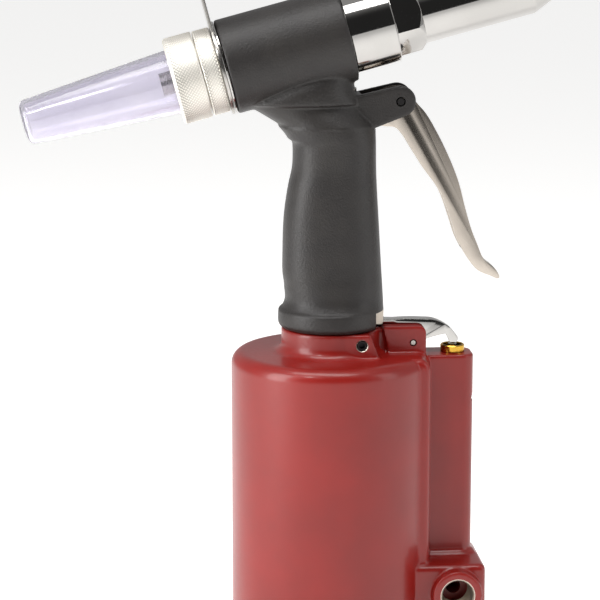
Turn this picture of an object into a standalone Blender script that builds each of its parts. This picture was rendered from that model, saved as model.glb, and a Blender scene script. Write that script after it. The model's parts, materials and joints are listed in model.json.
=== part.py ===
"""Pneumatic rivet gun: air cylinder, pistol grip, valve linkage and pulling head.

Metres, +Z up. The origin is the centre of the flat base, on the air cylinder's axis. +X points to
the nose and -Y to the side of the air inlet. The pulling head's axis crosses the cylinder's axis at
HEAD_HEIGHT and rises HEAD_TILT towards the nose. Along it, "s" is the distance forward of that
crossing, and a negative s lies behind it.
"""

import bmesh
import bpy
from math import atan2, cos, pi, radians, sin, tan
from mathutils import Matrix, Vector

# ---------------------------------------------------------------- fits and mesh fineness
GAP = 0.0003
ROUND = 24
FINE = 36
COARSE = 12
SMALL = 16
MERGE = 0.00001
OVERSHOOT = 0.002

# ---------------------------------------------------------------- air cylinder casting
PAD_THICKNESS = 0.004
PAD_INSET = 0.0012
CYLINDER_RADIUS = 0.0439
CYLINDER_WALL = 0.0046
SHOULDER_Z = 0.1275
SHOULDER_ROUND = 0.0055
CROWN_THICKNESS = 0.0085
NECK_RADIUS = 0.0218
NECK_HEIGHT = 0.0107
NECK_TOP_Z = SHOULDER_Z + NECK_HEIGHT
NECK_FILLET = 0.0042
NECK_WALL = 0.0049
NECK_POCKET_DEPTH = 0.0102

RIB_X = CYLINDER_RADIUS - 0.0022
RIB_HALF_WIDTH = 0.024
RIB_ROUND = 0.0028

VALVE_X = CYLINDER_RADIUS + 0.0104
VALVE_BLOCK_X = VALVE_X + 0.0088
VALVE_BLOCK_HALF_WIDTH = 0.009
VALVE_BLOCK_TOP_Z = SHOULDER_Z - 0.0017
VALVE_BLOCK_ROUND = 0.0055
VALVE_BORE_RADIUS = 0.005
VALVE_SHELF_Z = 0.036
VALVE_LOWER_RADIUS = 0.0035
AIR_PASSAGE_X = CYLINDER_RADIUS + 0.0016
AIR_PASSAGE_RADIUS = 0.0018
AIR_PASSAGE_LOW_Z = 0.0125
AIR_PASSAGE_HIGH_Z = 0.0745
EXHAUST_Z = 0.1047
EXHAUST_DEPTH = 0.0013
EXHAUST_SLOPE_HEIGHT = 0.0075

INLET_X = VALVE_X - 0.0008
INLET_Z = 0.022
INLET_BLOCK_X = VALVE_BLOCK_X + 0.0035
INLET_BLOCK_FRONT_Y = -0.0265
INLET_BLOCK_BACK_Y = 0.011
INLET_BLOCK_TOP_Z = 0.0345
INLET_BLOCK_LEFT_X = 0.020
INLET_BOSS_RADIUS = 0.0109
INLET_BOSS_FACE_Y = -0.0315
INLET_BORE_RADIUS = 0.0067
INLET_BORE_DEPTH = 0.015
INLET_PASSAGE_RADIUS = 0.0033

EAR_X = RIB_X - 0.0004
EAR_TOP_Z = NECK_TOP_Z + 0.0011
EAR_HALF_WIDTH = 0.0100
EAR_FOOT_X = 0.0255
EAR_CORNER = 0.0026
WEB_HALF_WIDTH = 0.0080

SCREW_X = 0.0116
SCREW_Z = NECK_TOP_Z - 0.0048
SCREW_RADIUS = 0.0023
SCREW_LENGTH = 0.0071
SCREW_BOSS_FACE_Y = -0.0213
SCREW_BOSS_TOP_X = 0.0155
SCREW_BOSS_FOOT_X = 0.0198

# ---------------------------------------------------------------- end cap and air piston
END_CAP_THICKNESS = 0.0065
CAP_GROOVE_DEPTH = 0.0022
SEAL_HEIGHT = 0.0026
PISTON_Z = 0.016
PISTON_THICKNESS = 0.010
PISTON_CLEARANCE = 0.0007
BUMPER_THICKNESS = 0.006
BUMPER_RADIUS = 0.018
RAM_RADIUS = 0.0055
RAM_STUD_RADIUS = 0.004
RAM_TOP_Z = NECK_TOP_Z - 0.0042
RAM_NUT_FLATS = 0.013
RAM_NUT_HEIGHT = 0.0043
GLAND_FLANGE_HEIGHT = 0.0055
GLAND_SPIGOT_TOP_Z = NECK_TOP_Z - 0.0037
RAM_SEAL_Z = NECK_TOP_Z - 0.0082

# ---------------------------------------------------------------- valve and its lever
BUSH_COLLAR_RADIUS = VALVE_BORE_RADIUS + 0.00035
BUSH_COLLAR_HEIGHT = 0.003
BUSH_SHANK_LENGTH = 0.014
BUSH_MOUTH_RADIUS = VALVE_BORE_RADIUS - 0.0007
BUSH_MOUTH_DEPTH = 0.0085
STEM_RADIUS = 0.002
STEM_TOP_Z = VALVE_BLOCK_TOP_Z + 0.0036
STEM_HEAD_RADIUS = VALVE_BORE_RADIUS - 0.0008
STEM_HEAD_Z = 0.060
STEM_HEAD_HEIGHT = 0.007
VALVE_SEAT_THICKNESS = 0.003
PLUG_HEIGHT = 0.006
LEVER_PIN_X = EAR_X - 0.0058
LEVER_PIN_Z = NECK_TOP_Z - 0.0062
LEVER_PIN_RADIUS = 0.0013
LEVER_HALF_WIDTH = 0.0032
LEVER_TIP_HALF_WIDTH = 0.0024
LEVER_TONGUE_Z = NECK_TOP_Z + 0.0012
LEVER_TONGUE_THICKNESS = 0.0021
LEVER_TONGUE_OVERHANG = 0.0022
LEVER_TOP_Z = NECK_TOP_Z + 0.0029
LEVER_DEPTH = 0.0080
LEVER_TIP_RADIUS = 0.0022

# ---------------------------------------------------------------- handle frame and trigger
SPIGOT_RADIUS = NECK_RADIUS - NECK_WALL - 0.0004
TUBE_RADIUS = 0.011
TUBE_BORE_RADIUS = 0.0064
TUBE_BOTTOM_Z = GLAND_SPIGOT_TOP_Z + 0.0005
RIM_BOTTOM_Z = NECK_TOP_Z + GAP
GRIP_SPAN = 0.1265
HEAD_HEIGHT = RIM_BOTTOM_Z + GRIP_SPAN
HEAD_RADIUS = 0.02065
TUBE_TOP_Z = HEAD_HEIGHT - HEAD_RADIUS - 0.00085
LUG_HALF_WIDTH = 0.0050
LUG_NOTCH_X = 0.0185
LUG_NOTCH_TOP_Z = NECK_TOP_Z + 0.0080

PIVOT_X = 0.0293
PIVOT_Z = HEAD_HEIGHT - 0.0269
CLEVIS_RADIUS = 0.0067
CLEVIS_HALF_WIDTH = 0.0088
TRIGGER_HALF_WIDTH = 0.00525
TRIGGER_WALL = 0.0018
TRIGGER_WEB = 0.0020
PIVOT_PIN_RADIUS = 0.0018
ROD_X = PIVOT_X - 0.0130
LINK_Z = PIVOT_Z - 0.0023
LINK_PIN_RADIUS = 0.0012
ROD_RADIUS = 0.0012
ROD_EYE_RADIUS = 0.0032
ROD_EYE_SLACK = 0.0006
ROD_FOOT_RADIUS = 0.0016
ROD_LIFT = 0.0046
ARM_SLOT_X = 0.0125
ARM_SLOT_Z = PIVOT_Z - 0.0125

# ---------------------------------------------------------------- pulling head, along s
HEAD_TILT = radians(15)
HEAD_FRONT_S = 0.0067
HEAD_REAR_S = -0.0472
HEAD_BORE_RADIUS = HEAD_RADIUS - 0.00515
OIL_PORT_RADIUS = 0.0032
BLEED_S = -0.004
BLEED_RADIUS = 0.002
BLEED_HEAD_RADIUS = 0.0036
BLEED_HEAD_HEIGHT = 0.0022

BARREL_RADIUS = HEAD_RADIUS - 0.00285
BARREL_FRONT_S = 0.0266
BARREL_SPIGOT_LENGTH = 0.0062
BARREL_SOCKET_S = 0.012
BARREL_WALL = 0.0026
PULL_PISTON_FRONT_S = -0.0085
PULL_PISTON_THICKNESS = 0.010
PULL_ROD_RADIUS = 0.008
PULL_ROD_FRONT_S = 0.052
MANDREL_BORE_RADIUS = 0.0032
MANDREL_TUBE_RADIUS = 0.005
MANDREL_TUBE_REAR_S = -0.076

REAR_CAP_RADIUS = HEAD_RADIUS - 0.0019
REAR_CAP_FRONT_S = -0.0502
REAR_CAP_REAR_S = -0.0576
REAR_SPIGOT_LENGTH = 0.0082
REAR_THREAD_RADIUS = REAR_CAP_RADIUS - 0.00375
REAR_THREAD_LENGTH = 0.0075
REAR_CAP_FLOOR_S = -0.054
REAR_CAP_WALL = 0.0017
WASHER_THICKNESS = 0.0008
WASHER_RADIUS = HEAD_RADIUS - 0.00015
HANGER_THICKNESS = 0.0012
HANGER_RADIUS = HEAD_RADIUS - 0.00035
HANGER_HALF_WIDTH = 0.0110
HANGER_BEND = HEAD_RADIUS + 0.0125
HANGER_RISE = HANGER_BEND + 0.0170
HANGER_LEAN = radians(24)
HANGER_EYE_RADIUS = 0.0068

COLLAR_RADIUS = REAR_CAP_RADIUS + 0.00025
COLLAR_REAR_S = -0.0709
COLLAR_CHAMFER = 0.0012
BOTTLE_NECK_RADIUS = REAR_THREAD_RADIUS - 0.0010
BOTTLE_TIP_RADIUS = 0.0098
BOTTLE_TIP_S = -0.1373
BOTTLE_TIP_ROUND = 0.003
BOTTLE_WALL = 0.0015
BOTTLE_FLANGE_RADIUS = REAR_THREAD_RADIUS
BOTTLE_FLANGE_THICKNESS = 0.0022

HEX_FLATS = 0.027
HEX_TURN = radians(15.5)
HEX_REAR_S = 0.0270
HEX_FRONT_S = 0.0362
HEX_CHAMFER_S = 0.0390
SLEEVE_RADIUS = 0.01325
SLEEVE_BORE_RADIUS = SLEEVE_RADIUS - 0.00185
SLEEVE_FRONT_S = 0.0878
NOSE_SPIGOT_REAR_S = 0.0140
NOSE_CONE_RADIUS = 0.0066
NOSE_CONE_S = 0.1044
NOSE_BORE_RADIUS = 0.0040
NOSEPIECE_RADIUS = 0.0050
NOSEPIECE_FRONT_S = 0.1100
NOSEPIECE_REAR_S = 0.0823
NOSEPIECE_HOLE_RADIUS = 0.0016

CASE_REAR_S = 0.0440
CASE_FRONT_S = 0.0840
CASE_CHAMBER_S = 0.0660
CASE_MOUTH_RADIUS = 0.0047
CASE_WALL = 0.0030
JAW_REAR_S = 0.0675
JAW_FRONT_S = 0.0815
JAW_BORE_RADIUS = 0.0019
PUSHER_REAR_S = 0.0605
PUSHER_RADIUS = 0.0062
LOCK_NUT_LENGTH = 0.0036

# ---------------------------------------------------------------- springs
COIL_SIDES = 2
RETURN_WIRE_RADIUS = 0.0010
RETURN_COIL_RADIUS = HEAD_BORE_RADIUS - 0.0037
RETURN_TURNS = 5
VALVE_WIRE_RADIUS = 0.0004
VALVE_COIL_RADIUS = VALVE_BORE_RADIUS - 0.0009
VALVE_TURNS = 5
JAW_WIRE_RADIUS = 0.0005
JAW_COIL_RADIUS = 0.0068
JAW_TURNS = 3

# ---------------------------------------------------------------- derived sizes
CASTING_BOTTOM_Z = PAD_THICKNESS + GAP
CYLINDER_BORE_RADIUS = CYLINDER_RADIUS - CYLINDER_WALL
CEILING_Z = SHOULDER_Z - CROWN_THICKNESS
END_CAP_TOP_Z = CASTING_BOTTOM_Z + END_CAP_THICKNESS
NECK_BORE_RADIUS = NECK_RADIUS - NECK_WALL
NECK_POCKET_Z = NECK_TOP_Z - NECK_POCKET_DEPTH
GLAND_Z = NECK_POCKET_Z - GLAND_FLANGE_HEIGHT
PISTON_TOP_Z = PISTON_Z + PISTON_THICKNESS
GUIDE_RADIUS = RAM_RADIUS + GAP
LEVER_SLOT_HALF_WIDTH = LEVER_HALF_WIDTH + 2 * GAP
TRIGGER_SLOT_HALF_WIDTH = TRIGGER_HALF_WIDTH + GAP
ROD_EYE_HALF_WIDTH = TRIGGER_HALF_WIDTH - TRIGGER_WALL - GAP
ROD_FOOT_Z = LEVER_TONGUE_Z - GAP - ROD_FOOT_RADIUS
HEX_CORNER = HEX_FLATS / 2 / cos(pi / 6)
CHAMBER_RADIUS = SLEEVE_BORE_RADIUS - CASE_WALL
JAW_CONE = atan2(CHAMBER_RADIUS - CASE_MOUTH_RADIUS, CASE_FRONT_S - CASE_CHAMBER_S)
PISTON_BODY_RADIUS = HEAD_BORE_RADIUS - GAP
CAP_SPIGOT_FRONT_S = REAR_CAP_FRONT_S + REAR_SPIGOT_LENGTH

parts = bpy.data.collections.new("pneumatic_rivet_gun")
cutters = bpy.data.collections.new("cutters")
head_axis = bpy.data.objects.new("head_axis", None)
materials = {}


# ---------------------------------------------------------------- modelling helpers
def clear_scene():
    for obj in list(bpy.data.objects):
        if obj is not head_axis:
            bpy.data.objects.remove(obj)
    bpy.context.scene.collection.children.link(parts)
    bpy.context.scene.collection.children.link(cutters)
    parts.objects.link(head_axis)
    head_axis.location = (0, 0, HEAD_HEIGHT)
    head_axis.rotation_euler = (0, pi / 2 - HEAD_TILT, 0)


def material(name, colour, roughness, metallic=0.0, alpha=1.0):
    """A Principled material; the same name always gives the same material."""
    if name not in materials:
        made = bpy.data.materials.new(name)
        made.use_nodes = True
        shader = made.node_tree.nodes["Principled BSDF"]
        shader.inputs["Base Color"].default_value = (*colour, 1.0)
        shader.inputs["Roughness"].default_value = roughness
        shader.inputs["Metallic"].default_value = metallic
        shader.inputs["Alpha"].default_value = alpha
        materials[name] = made
    return materials[name]


def add_object(name, mesh, collection=cutters, parent=None, location=(0, 0, 0)):
    obj = bpy.data.objects.new(name, mesh)
    collection.objects.link(obj)
    obj.parent = parent
    obj.location = location
    if collection is cutters:
        obj.hide_render = True
        obj.display_type = "WIRE"
    return obj


def as_part(obj, name, finish):
    """Moves a shape into the parts collection, with its own material and smooth round faces."""
    cutters.objects.unlink(obj)
    parts.objects.link(obj)
    obj.name = name
    obj.hide_render = False
    obj.display_type = "TEXTURED"
    obj.data.materials.append(finish)
    obj.data.shade_smooth()
    obj.data.set_sharp_from_angle(angle=radians(35))
    return obj


def turned(name, profile, steps=ROUND, parent=None, location=(0, 0, 0)):
    """Turns a profile of (radius, z) about Z. It runs down its outer side, from top to bottom."""
    mesh = bpy.data.meshes.new(name)
    points = [(radius, 0, z) for radius, z in profile]
    edges = [(i, i + 1) for i in range(len(points) - 1)]
    if profile[0][0] > 0:
        edges.append((len(points) - 1, 0))
    mesh.from_pydata(points, edges, [])
    obj = add_object(name, mesh, parent=parent, location=location)
    screw = obj.modifiers.new("turn", "SCREW")
    screw.steps = steps
    screw.render_steps = steps
    screw.use_merge_vertices = True
    screw.merge_threshold = MERGE
    return obj


def ring_profile(outer, inner, low, high):
    return [(outer, high), (outer, low), (inner, low), (inner, high)]


def rod_profile(radius, low, high):
    return [(0, high), (radius, high), (radius, low), (0, low)]


def arc(centre, radius, start, end, count=5):
    """Points along an arc in a plane, with angles in degrees."""
    angles = [radians(start + (end - start) * i / count) for i in range(count + 1)]
    return [(centre[0] + radius * cos(a), centre[1] + radius * sin(a)) for a in angles]


def cylinder(name, start, end, radius, steps=COARSE, parent=None):
    """A cylinder between two points."""
    start, end = Vector(start), Vector(end)
    run = end - start
    turn = run.to_track_quat("Z", "Y").to_matrix().to_4x4()
    shape = bmesh.new()
    bmesh.ops.create_cone(
        shape, cap_ends=True, segments=steps, radius1=radius, radius2=radius, depth=run.length
    )
    bmesh.ops.transform(shape, matrix=Matrix.Translation((start + end) / 2) @ turn, verts=shape.verts)
    mesh = bpy.data.meshes.new(name)
    shape.to_mesh(mesh)
    shape.free()
    return add_object(name, mesh, parent=parent)


def block(name, low, high, rounding=0.0, segments=2):
    """A box between two corners, with rounded edges where rounding is given."""
    low, high = Vector(low), Vector(high)
    size = high - low
    shape = bmesh.new()
    bmesh.ops.create_cube(shape, size=1.0)
    bmesh.ops.scale(shape, vec=size, verts=shape.verts)
    bmesh.ops.translate(shape, vec=(low + high) / 2, verts=shape.verts)
    mesh = bpy.data.meshes.new(name)
    shape.to_mesh(mesh)
    shape.free()
    obj = add_object(name, mesh)
    if rounding:
        bevel = obj.modifiers.new("rounding", "BEVEL")
        bevel.width = rounding
        bevel.segments = segments
    return obj


def slab(name, outline, half_width, smooth=False, resolution=3, location=(0, 0, 0), parent=None):
    """An outline of (x, z) points, centred on Y=0 and half_width thick to each side.

    A smooth outline's points are (x, z, handle), where AUTO curves and VECTOR makes a corner.
    """
    curve = bpy.data.curves.new(name, "CURVE")
    curve.dimensions = "2D"
    curve.fill_mode = "BOTH"
    curve.extrude = half_width
    curve.resolution_u = resolution
    spline = curve.splines.new("BEZIER" if smooth else "POLY")
    spline.use_cyclic_u = True
    if smooth:
        spline.bezier_points.add(len(outline) - 1)
        for point, (x, z, handle) in zip(spline.bezier_points, outline):
            point.co = (x, z, 0)
            point.handle_left_type = handle
            point.handle_right_type = handle
    else:
        spline.points.add(len(outline) - 1)
        for point, (x, z) in zip(spline.points, outline):
            point.co = (x, z, 0, 1)
    flat = add_object(name + "_outline", curve)
    flat.rotation_euler = (pi / 2, 0, 0)
    made = frozen(flat, name)
    made.data.transform(made.matrix_world)
    made.matrix_world = Matrix.Identity(4)
    made.parent = parent
    made.location = location
    return made


def frozen(obj, name):
    """The object as it evaluates, as a plain mesh; the source object is removed."""
    bpy.context.view_layer.update()
    evaluated = obj.evaluated_get(bpy.context.evaluated_depsgraph_get())
    mesh = bpy.data.meshes.new_from_object(evaluated)
    place = obj.matrix_world.copy()
    bpy.data.objects.remove(obj)
    shape = bmesh.new()
    shape.from_mesh(mesh)
    bmesh.ops.remove_doubles(shape, verts=shape.verts, dist=MERGE)
    bmesh.ops.recalc_face_normals(shape, faces=shape.faces)
    shape.to_mesh(mesh)
    shape.free()
    mesh.name = name
    made = add_object(name, mesh)
    made.matrix_world = place
    return made


def combine(obj, others, operation):
    for other in others:
        step = obj.modifiers.new(operation.lower(), "BOOLEAN")
        step.operation = operation
        step.solver = "MANIFOLD"
        step.object = other
    return obj


def cut(obj, *others):
    return combine(obj, others, "DIFFERENCE")


def join(obj, *others):
    return combine(obj, others, "UNION")


def head_turned(name, profile, steps=ROUND, s=0.0):
    """A shape turned about the head's axis. The profile's z is measured forward of s."""
    return turned(name, [(r, z - s) for r, z in profile], steps, head_axis, (0, 0, s))


def coil(name, wire, radius, turns, low, high, finish, parent=None, centre=(0, 0)):
    """A compression spring with its wire inside low and high, along Z."""
    per_turn = 10
    count = per_turn * turns
    curve = bpy.data.curves.new(name, "CURVE")
    curve.dimensions = "3D"
    curve.bevel_depth = wire
    curve.bevel_resolution = COIL_SIDES
    curve.use_fill_caps = True
    spline = curve.splines.new("POLY")
    spline.points.add(count)
    rise = high - low - 2 * wire
    for i, point in enumerate(spline.points):
        angle = 2 * pi * i / per_turn
        point.co = (radius * cos(angle), radius * sin(angle), rise * i / count, 1)
    obj = add_object(name, curve, parts, parent, (*centre, low + wire))
    obj.data.materials.append(finish)
    return obj


# ---------------------------------------------------------------- materials
def red_paint():
    return material("red_paint", (0.42, 0.035, 0.03), 0.3)


def black_coating():
    return material("black_coating", (0.045, 0.042, 0.04), 0.55)


def chrome():
    return material("chrome", (0.8, 0.8, 0.8), 0.12, 1.0)


def satin_nickel():
    return material("satin_nickel", (0.62, 0.58, 0.53), 0.3, 1.0)


def knurled_steel():
    return material("knurled_steel", (0.7, 0.69, 0.66), 0.35, 1.0)


def machined_steel():
    return material("machined_steel", (0.5, 0.5, 0.5), 0.35, 1.0)


def aluminium():
    return material("aluminium", (0.75, 0.75, 0.76), 0.4, 1.0)


def brass():
    return material("brass", (0.72, 0.5, 0.16), 0.28, 1.0)


def black_oxide():
    return material("black_oxide", (0.03, 0.03, 0.03), 0.45, 0.6)


def rubber():
    return material("rubber", (0.03, 0.03, 0.03), 0.8)


def clear_plastic():
    return material("clear_plastic", (0.85, 0.84, 0.9), 0.08, 0.0, 0.35)


# ---------------------------------------------------------------- air cylinder casting
def casting_body():
    """The cylinder, its rounded shoulder and its filleted neck, turned as one."""
    shoulder = (CYLINDER_RADIUS - SHOULDER_ROUND, SHOULDER_Z - SHOULDER_ROUND)
    fillet = (NECK_RADIUS + NECK_FILLET, SHOULDER_Z + NECK_FILLET)
    profile = [(0, NECK_TOP_Z), (NECK_RADIUS, NECK_TOP_Z)]
    profile += arc(fillet, NECK_FILLET, 180, 270, 3)
    profile += arc(shoulder, SHOULDER_ROUND, 90, 0, 4)
    profile += [(CYLINDER_RADIUS, CASTING_BOTTOM_Z), (0, CASTING_BOTTOM_Z)]
    return turned("casting_body", profile, FINE)


def casting_rib():
    """The squared pad between the cylinder and the valve block."""
    low = (0, -RIB_HALF_WIDTH, CASTING_BOTTOM_Z)
    return block("casting_rib", low, (RIB_X, RIB_HALF_WIDTH, SHOULDER_Z), RIB_ROUND)


def valve_block():
    """The upright block that holds the valve, with round outer corners."""
    half = VALVE_BLOCK_HALF_WIDTH
    centre = VALVE_BLOCK_X - VALVE_BLOCK_ROUND
    outline = [(CYLINDER_RADIUS - 2 * CYLINDER_WALL, -half)]
    outline += arc((centre, -half + VALVE_BLOCK_ROUND), VALVE_BLOCK_ROUND, -90, 0)
    outline += arc((centre, half - VALVE_BLOCK_ROUND), VALVE_BLOCK_ROUND, 0, 90)
    outline.append((CYLINDER_RADIUS - 2 * CYLINDER_WALL, half))
    height = VALVE_BLOCK_TOP_Z - CASTING_BOTTOM_Z
    made = slab("valve_block", outline, height / 2)
    made.data.transform(Matrix.Rotation(-pi / 2, 4, "X"))
    made.location = (0, 0, (VALVE_BLOCK_TOP_Z + CASTING_BOTTOM_Z) / 2)
    return made


def inlet_block():
    low = (INLET_BLOCK_LEFT_X, INLET_BLOCK_FRONT_Y, CASTING_BOTTOM_Z)
    high = (INLET_BLOCK_X, INLET_BLOCK_BACK_Y, INLET_BLOCK_TOP_Z)
    return block("inlet_block", low, high, RIB_ROUND)


def lever_ears():
    """The two ears' outline and the lower web that runs from them to the neck."""
    corner = (EAR_X - EAR_CORNER, EAR_TOP_Z - EAR_CORNER - 0.0006)
    outline = [(EAR_X, SHOULDER_Z - 0.006)]
    outline += arc(corner, EAR_CORNER, 0, 90, 4)
    outline += [(EAR_FOOT_X - 0.0034, EAR_TOP_Z), (EAR_FOOT_X, SHOULDER_Z - 0.006)]
    web_top = NECK_TOP_Z - 0.0006
    web = [
        (EAR_X - 0.004, SHOULDER_Z - 0.008),
        (EAR_X - 0.004, web_top),
        (NECK_RADIUS - 0.0035, web_top),
        (NECK_RADIUS - 0.0035, SHOULDER_Z - 0.008),
    ]
    return slab("lever_ears", outline, EAR_HALF_WIDTH), slab("lever_web", web, WEB_HALF_WIDTH)


def screw_boss():
    """The flat-faced boss on the neck that takes the set screw."""
    outline = [
        (0, SHOULDER_Z - 0.002),
        (SCREW_BOSS_FOOT_X, SHOULDER_Z - 0.002),
        (SCREW_BOSS_TOP_X, NECK_TOP_Z - 0.0002),
        (0, NECK_TOP_Z - 0.0002),
    ]
    made = slab("screw_boss", outline, -SCREW_BOSS_FACE_Y / 2)
    made.location = (0, SCREW_BOSS_FACE_Y / 2, 0)
    return made


def exhaust_notch():
    """A louvre on the valve block's end face: a long slope that ends in a sharp step."""
    outline = [
        (VALVE_BLOCK_X - EXHAUST_DEPTH, EXHAUST_Z),
        (VALVE_BLOCK_X + OVERSHOOT, EXHAUST_Z - 0.0012),
        (VALVE_BLOCK_X + OVERSHOOT, EXHAUST_Z + EXHAUST_SLOPE_HEIGHT + OVERSHOOT),
    ]
    return slab("exhaust_notch", outline, VALVE_BLOCK_HALF_WIDTH + OVERSHOOT)


def casting_hollows():
    """The cylinder bore, the neck's stepped bore, the valve bore, the inlet and the passages."""
    low = CASTING_BOTTOM_Z - OVERSHOOT
    throat = GUIDE_RADIUS + 2 * GAP
    core_profile = [(0, NECK_TOP_Z + OVERSHOOT), (NECK_BORE_RADIUS, NECK_TOP_Z + OVERSHOOT)]
    core_profile += [(NECK_BORE_RADIUS, GLAND_Z), (throat, GLAND_Z), (throat, CEILING_Z)]
    core_profile += [(CYLINDER_BORE_RADIUS, CEILING_Z), (CYLINDER_BORE_RADIUS, low), (0, low)]
    core = turned("core", core_profile, FINE)
    top = VALVE_BLOCK_TOP_Z + OVERSHOOT
    above = cylinder("valve_bore", (VALVE_X, 0, VALVE_SHELF_Z), (VALVE_X, 0, top), VALVE_BORE_RADIUS)
    below = cylinder("valve_feed", (VALVE_X, 0, low), (VALVE_X, 0, top), VALVE_LOWER_RADIUS)
    mouth_end = INLET_BOSS_FACE_Y + INLET_BORE_DEPTH
    outside = INLET_BOSS_FACE_Y - OVERSHOOT
    mouth = cylinder(
        "inlet_bore", (INLET_X, outside, INLET_Z), (INLET_X, mouth_end, INLET_Z), INLET_BORE_RADIUS, ROUND
    )
    feed = cylinder("inlet_feed", (INLET_X, outside, INLET_Z), (INLET_X, 0, INLET_Z), INLET_PASSAGE_RADIUS)
    riser_low = (AIR_PASSAGE_X, 0, AIR_PASSAGE_LOW_Z - AIR_PASSAGE_RADIUS)
    riser_high = (AIR_PASSAGE_X, 0, AIR_PASSAGE_HIGH_Z + AIR_PASSAGE_RADIUS)
    riser = cylinder("riser", riser_low, riser_high, AIR_PASSAGE_RADIUS, 12)
    inlet_port = cylinder(
        "cylinder_port",
        (CYLINDER_BORE_RADIUS - OVERSHOOT, 0, AIR_PASSAGE_LOW_Z),
        (AIR_PASSAGE_X, 0, AIR_PASSAGE_LOW_Z),
        AIR_PASSAGE_RADIUS * 0.9,
        12,
    )
    valve_port = cylinder(
        "valve_port",
        (AIR_PASSAGE_X, 0, AIR_PASSAGE_HIGH_Z),
        (VALVE_X, 0, AIR_PASSAGE_HIGH_Z),
        AIR_PASSAGE_RADIUS * 0.9,
        12,
    )
    exhaust = cylinder(
        "exhaust_port",
        (VALVE_X, 0, EXHAUST_Z + 0.002),
        (VALVE_BLOCK_X + OVERSHOOT, 0, EXHAUST_Z + 0.002),
        AIR_PASSAGE_RADIUS,
        12,
    )
    return core, above, below, mouth, feed, riser, inlet_port, valve_port, exhaust


def lever_hollows():
    """The slot between the ears, the lever pin's hole and the set screw's hole."""
    slot = block(
        "lever_slot",
        (NECK_BORE_RADIUS - 0.0025, -LEVER_SLOT_HALF_WIDTH, SHOULDER_Z + 0.0012),
        (EAR_X + OVERSHOOT, LEVER_SLOT_HALF_WIDTH, EAR_TOP_Z + OVERSHOOT),
    )
    reach = EAR_HALF_WIDTH + OVERSHOOT
    hole = cylinder(
        "lever_pin_hole",
        (LEVER_PIN_X, -reach, LEVER_PIN_Z),
        (LEVER_PIN_X, reach, LEVER_PIN_Z),
        LEVER_PIN_RADIUS + GAP,
    )
    screw_hole = cylinder(
        "set_screw_hole",
        (SCREW_X, SCREW_BOSS_FACE_Y - OVERSHOOT, SCREW_Z),
        (SCREW_X, -SPIGOT_RADIUS * 0.6, SCREW_Z),
        SCREW_RADIUS + GAP,
    )
    return slot, hole, screw_hole


def make_casting():
    body = casting_body()
    ears, web = lever_ears()
    boss = cylinder(
        "inlet_boss",
        (INLET_X, INLET_BOSS_FACE_Y, INLET_Z),
        (INLET_X, INLET_BLOCK_FRONT_Y + 0.006, INLET_Z),
        INLET_BOSS_RADIUS,
        ROUND,
    )
    join(body, casting_rib(), valve_block(), inlet_block(), ears, web, screw_boss(), boss)
    cut(body, *casting_hollows(), *lever_hollows(), exhaust_notch())
    as_part(body, "air_cylinder", red_paint())


def make_neck_screw():
    inner_y = SCREW_BOSS_FACE_Y + SCREW_LENGTH
    face_y = SCREW_BOSS_FACE_Y + GAP
    screw = cylinder("screw", (SCREW_X, face_y, SCREW_Z), (SCREW_X, inner_y, SCREW_Z), SCREW_RADIUS)
    socket = cylinder(
        "screw_socket",
        (SCREW_X, face_y - OVERSHOOT, SCREW_Z),
        (SCREW_X, face_y + SCREW_RADIUS, SCREW_Z),
        SCREW_RADIUS * 0.55,
        6,
    )
    as_part(cut(screw, socket), "neck_set_screw", black_oxide())


# ---------------------------------------------------------------- base, end cap, piston and ram
def make_base():
    radius = CYLINDER_RADIUS - PAD_INSET
    edge = 0.001
    profile = [(0, PAD_THICKNESS), (radius, PAD_THICKNESS), (radius, edge), (radius - edge, 0), (0, 0)]
    as_part(turned("pad", profile, FINE), "base_pad", rubber())

    groove_low = CASTING_BOTTOM_Z + (END_CAP_THICKNESS - SEAL_HEIGHT) / 2 - GAP
    groove_high = groove_low + SEAL_HEIGHT + 2 * GAP
    rim = CYLINDER_BORE_RADIUS - GAP
    groove = rim - CAP_GROOVE_DEPTH
    profile = [(0, END_CAP_TOP_Z), (rim, END_CAP_TOP_Z), (rim, groove_high), (groove, groove_high)]
    profile += [(groove, groove_low), (rim, groove_low), (rim, CASTING_BOTTOM_Z), (0, CASTING_BOTTOM_Z)]
    as_part(turned("cap", profile, FINE), "end_cap", aluminium())
    seal = ring_profile(rim, groove + GAP, groove_low + GAP, groove_high - GAP)
    as_part(turned("cap_seal", seal, FINE), "end_cap_seal", rubber())


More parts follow.
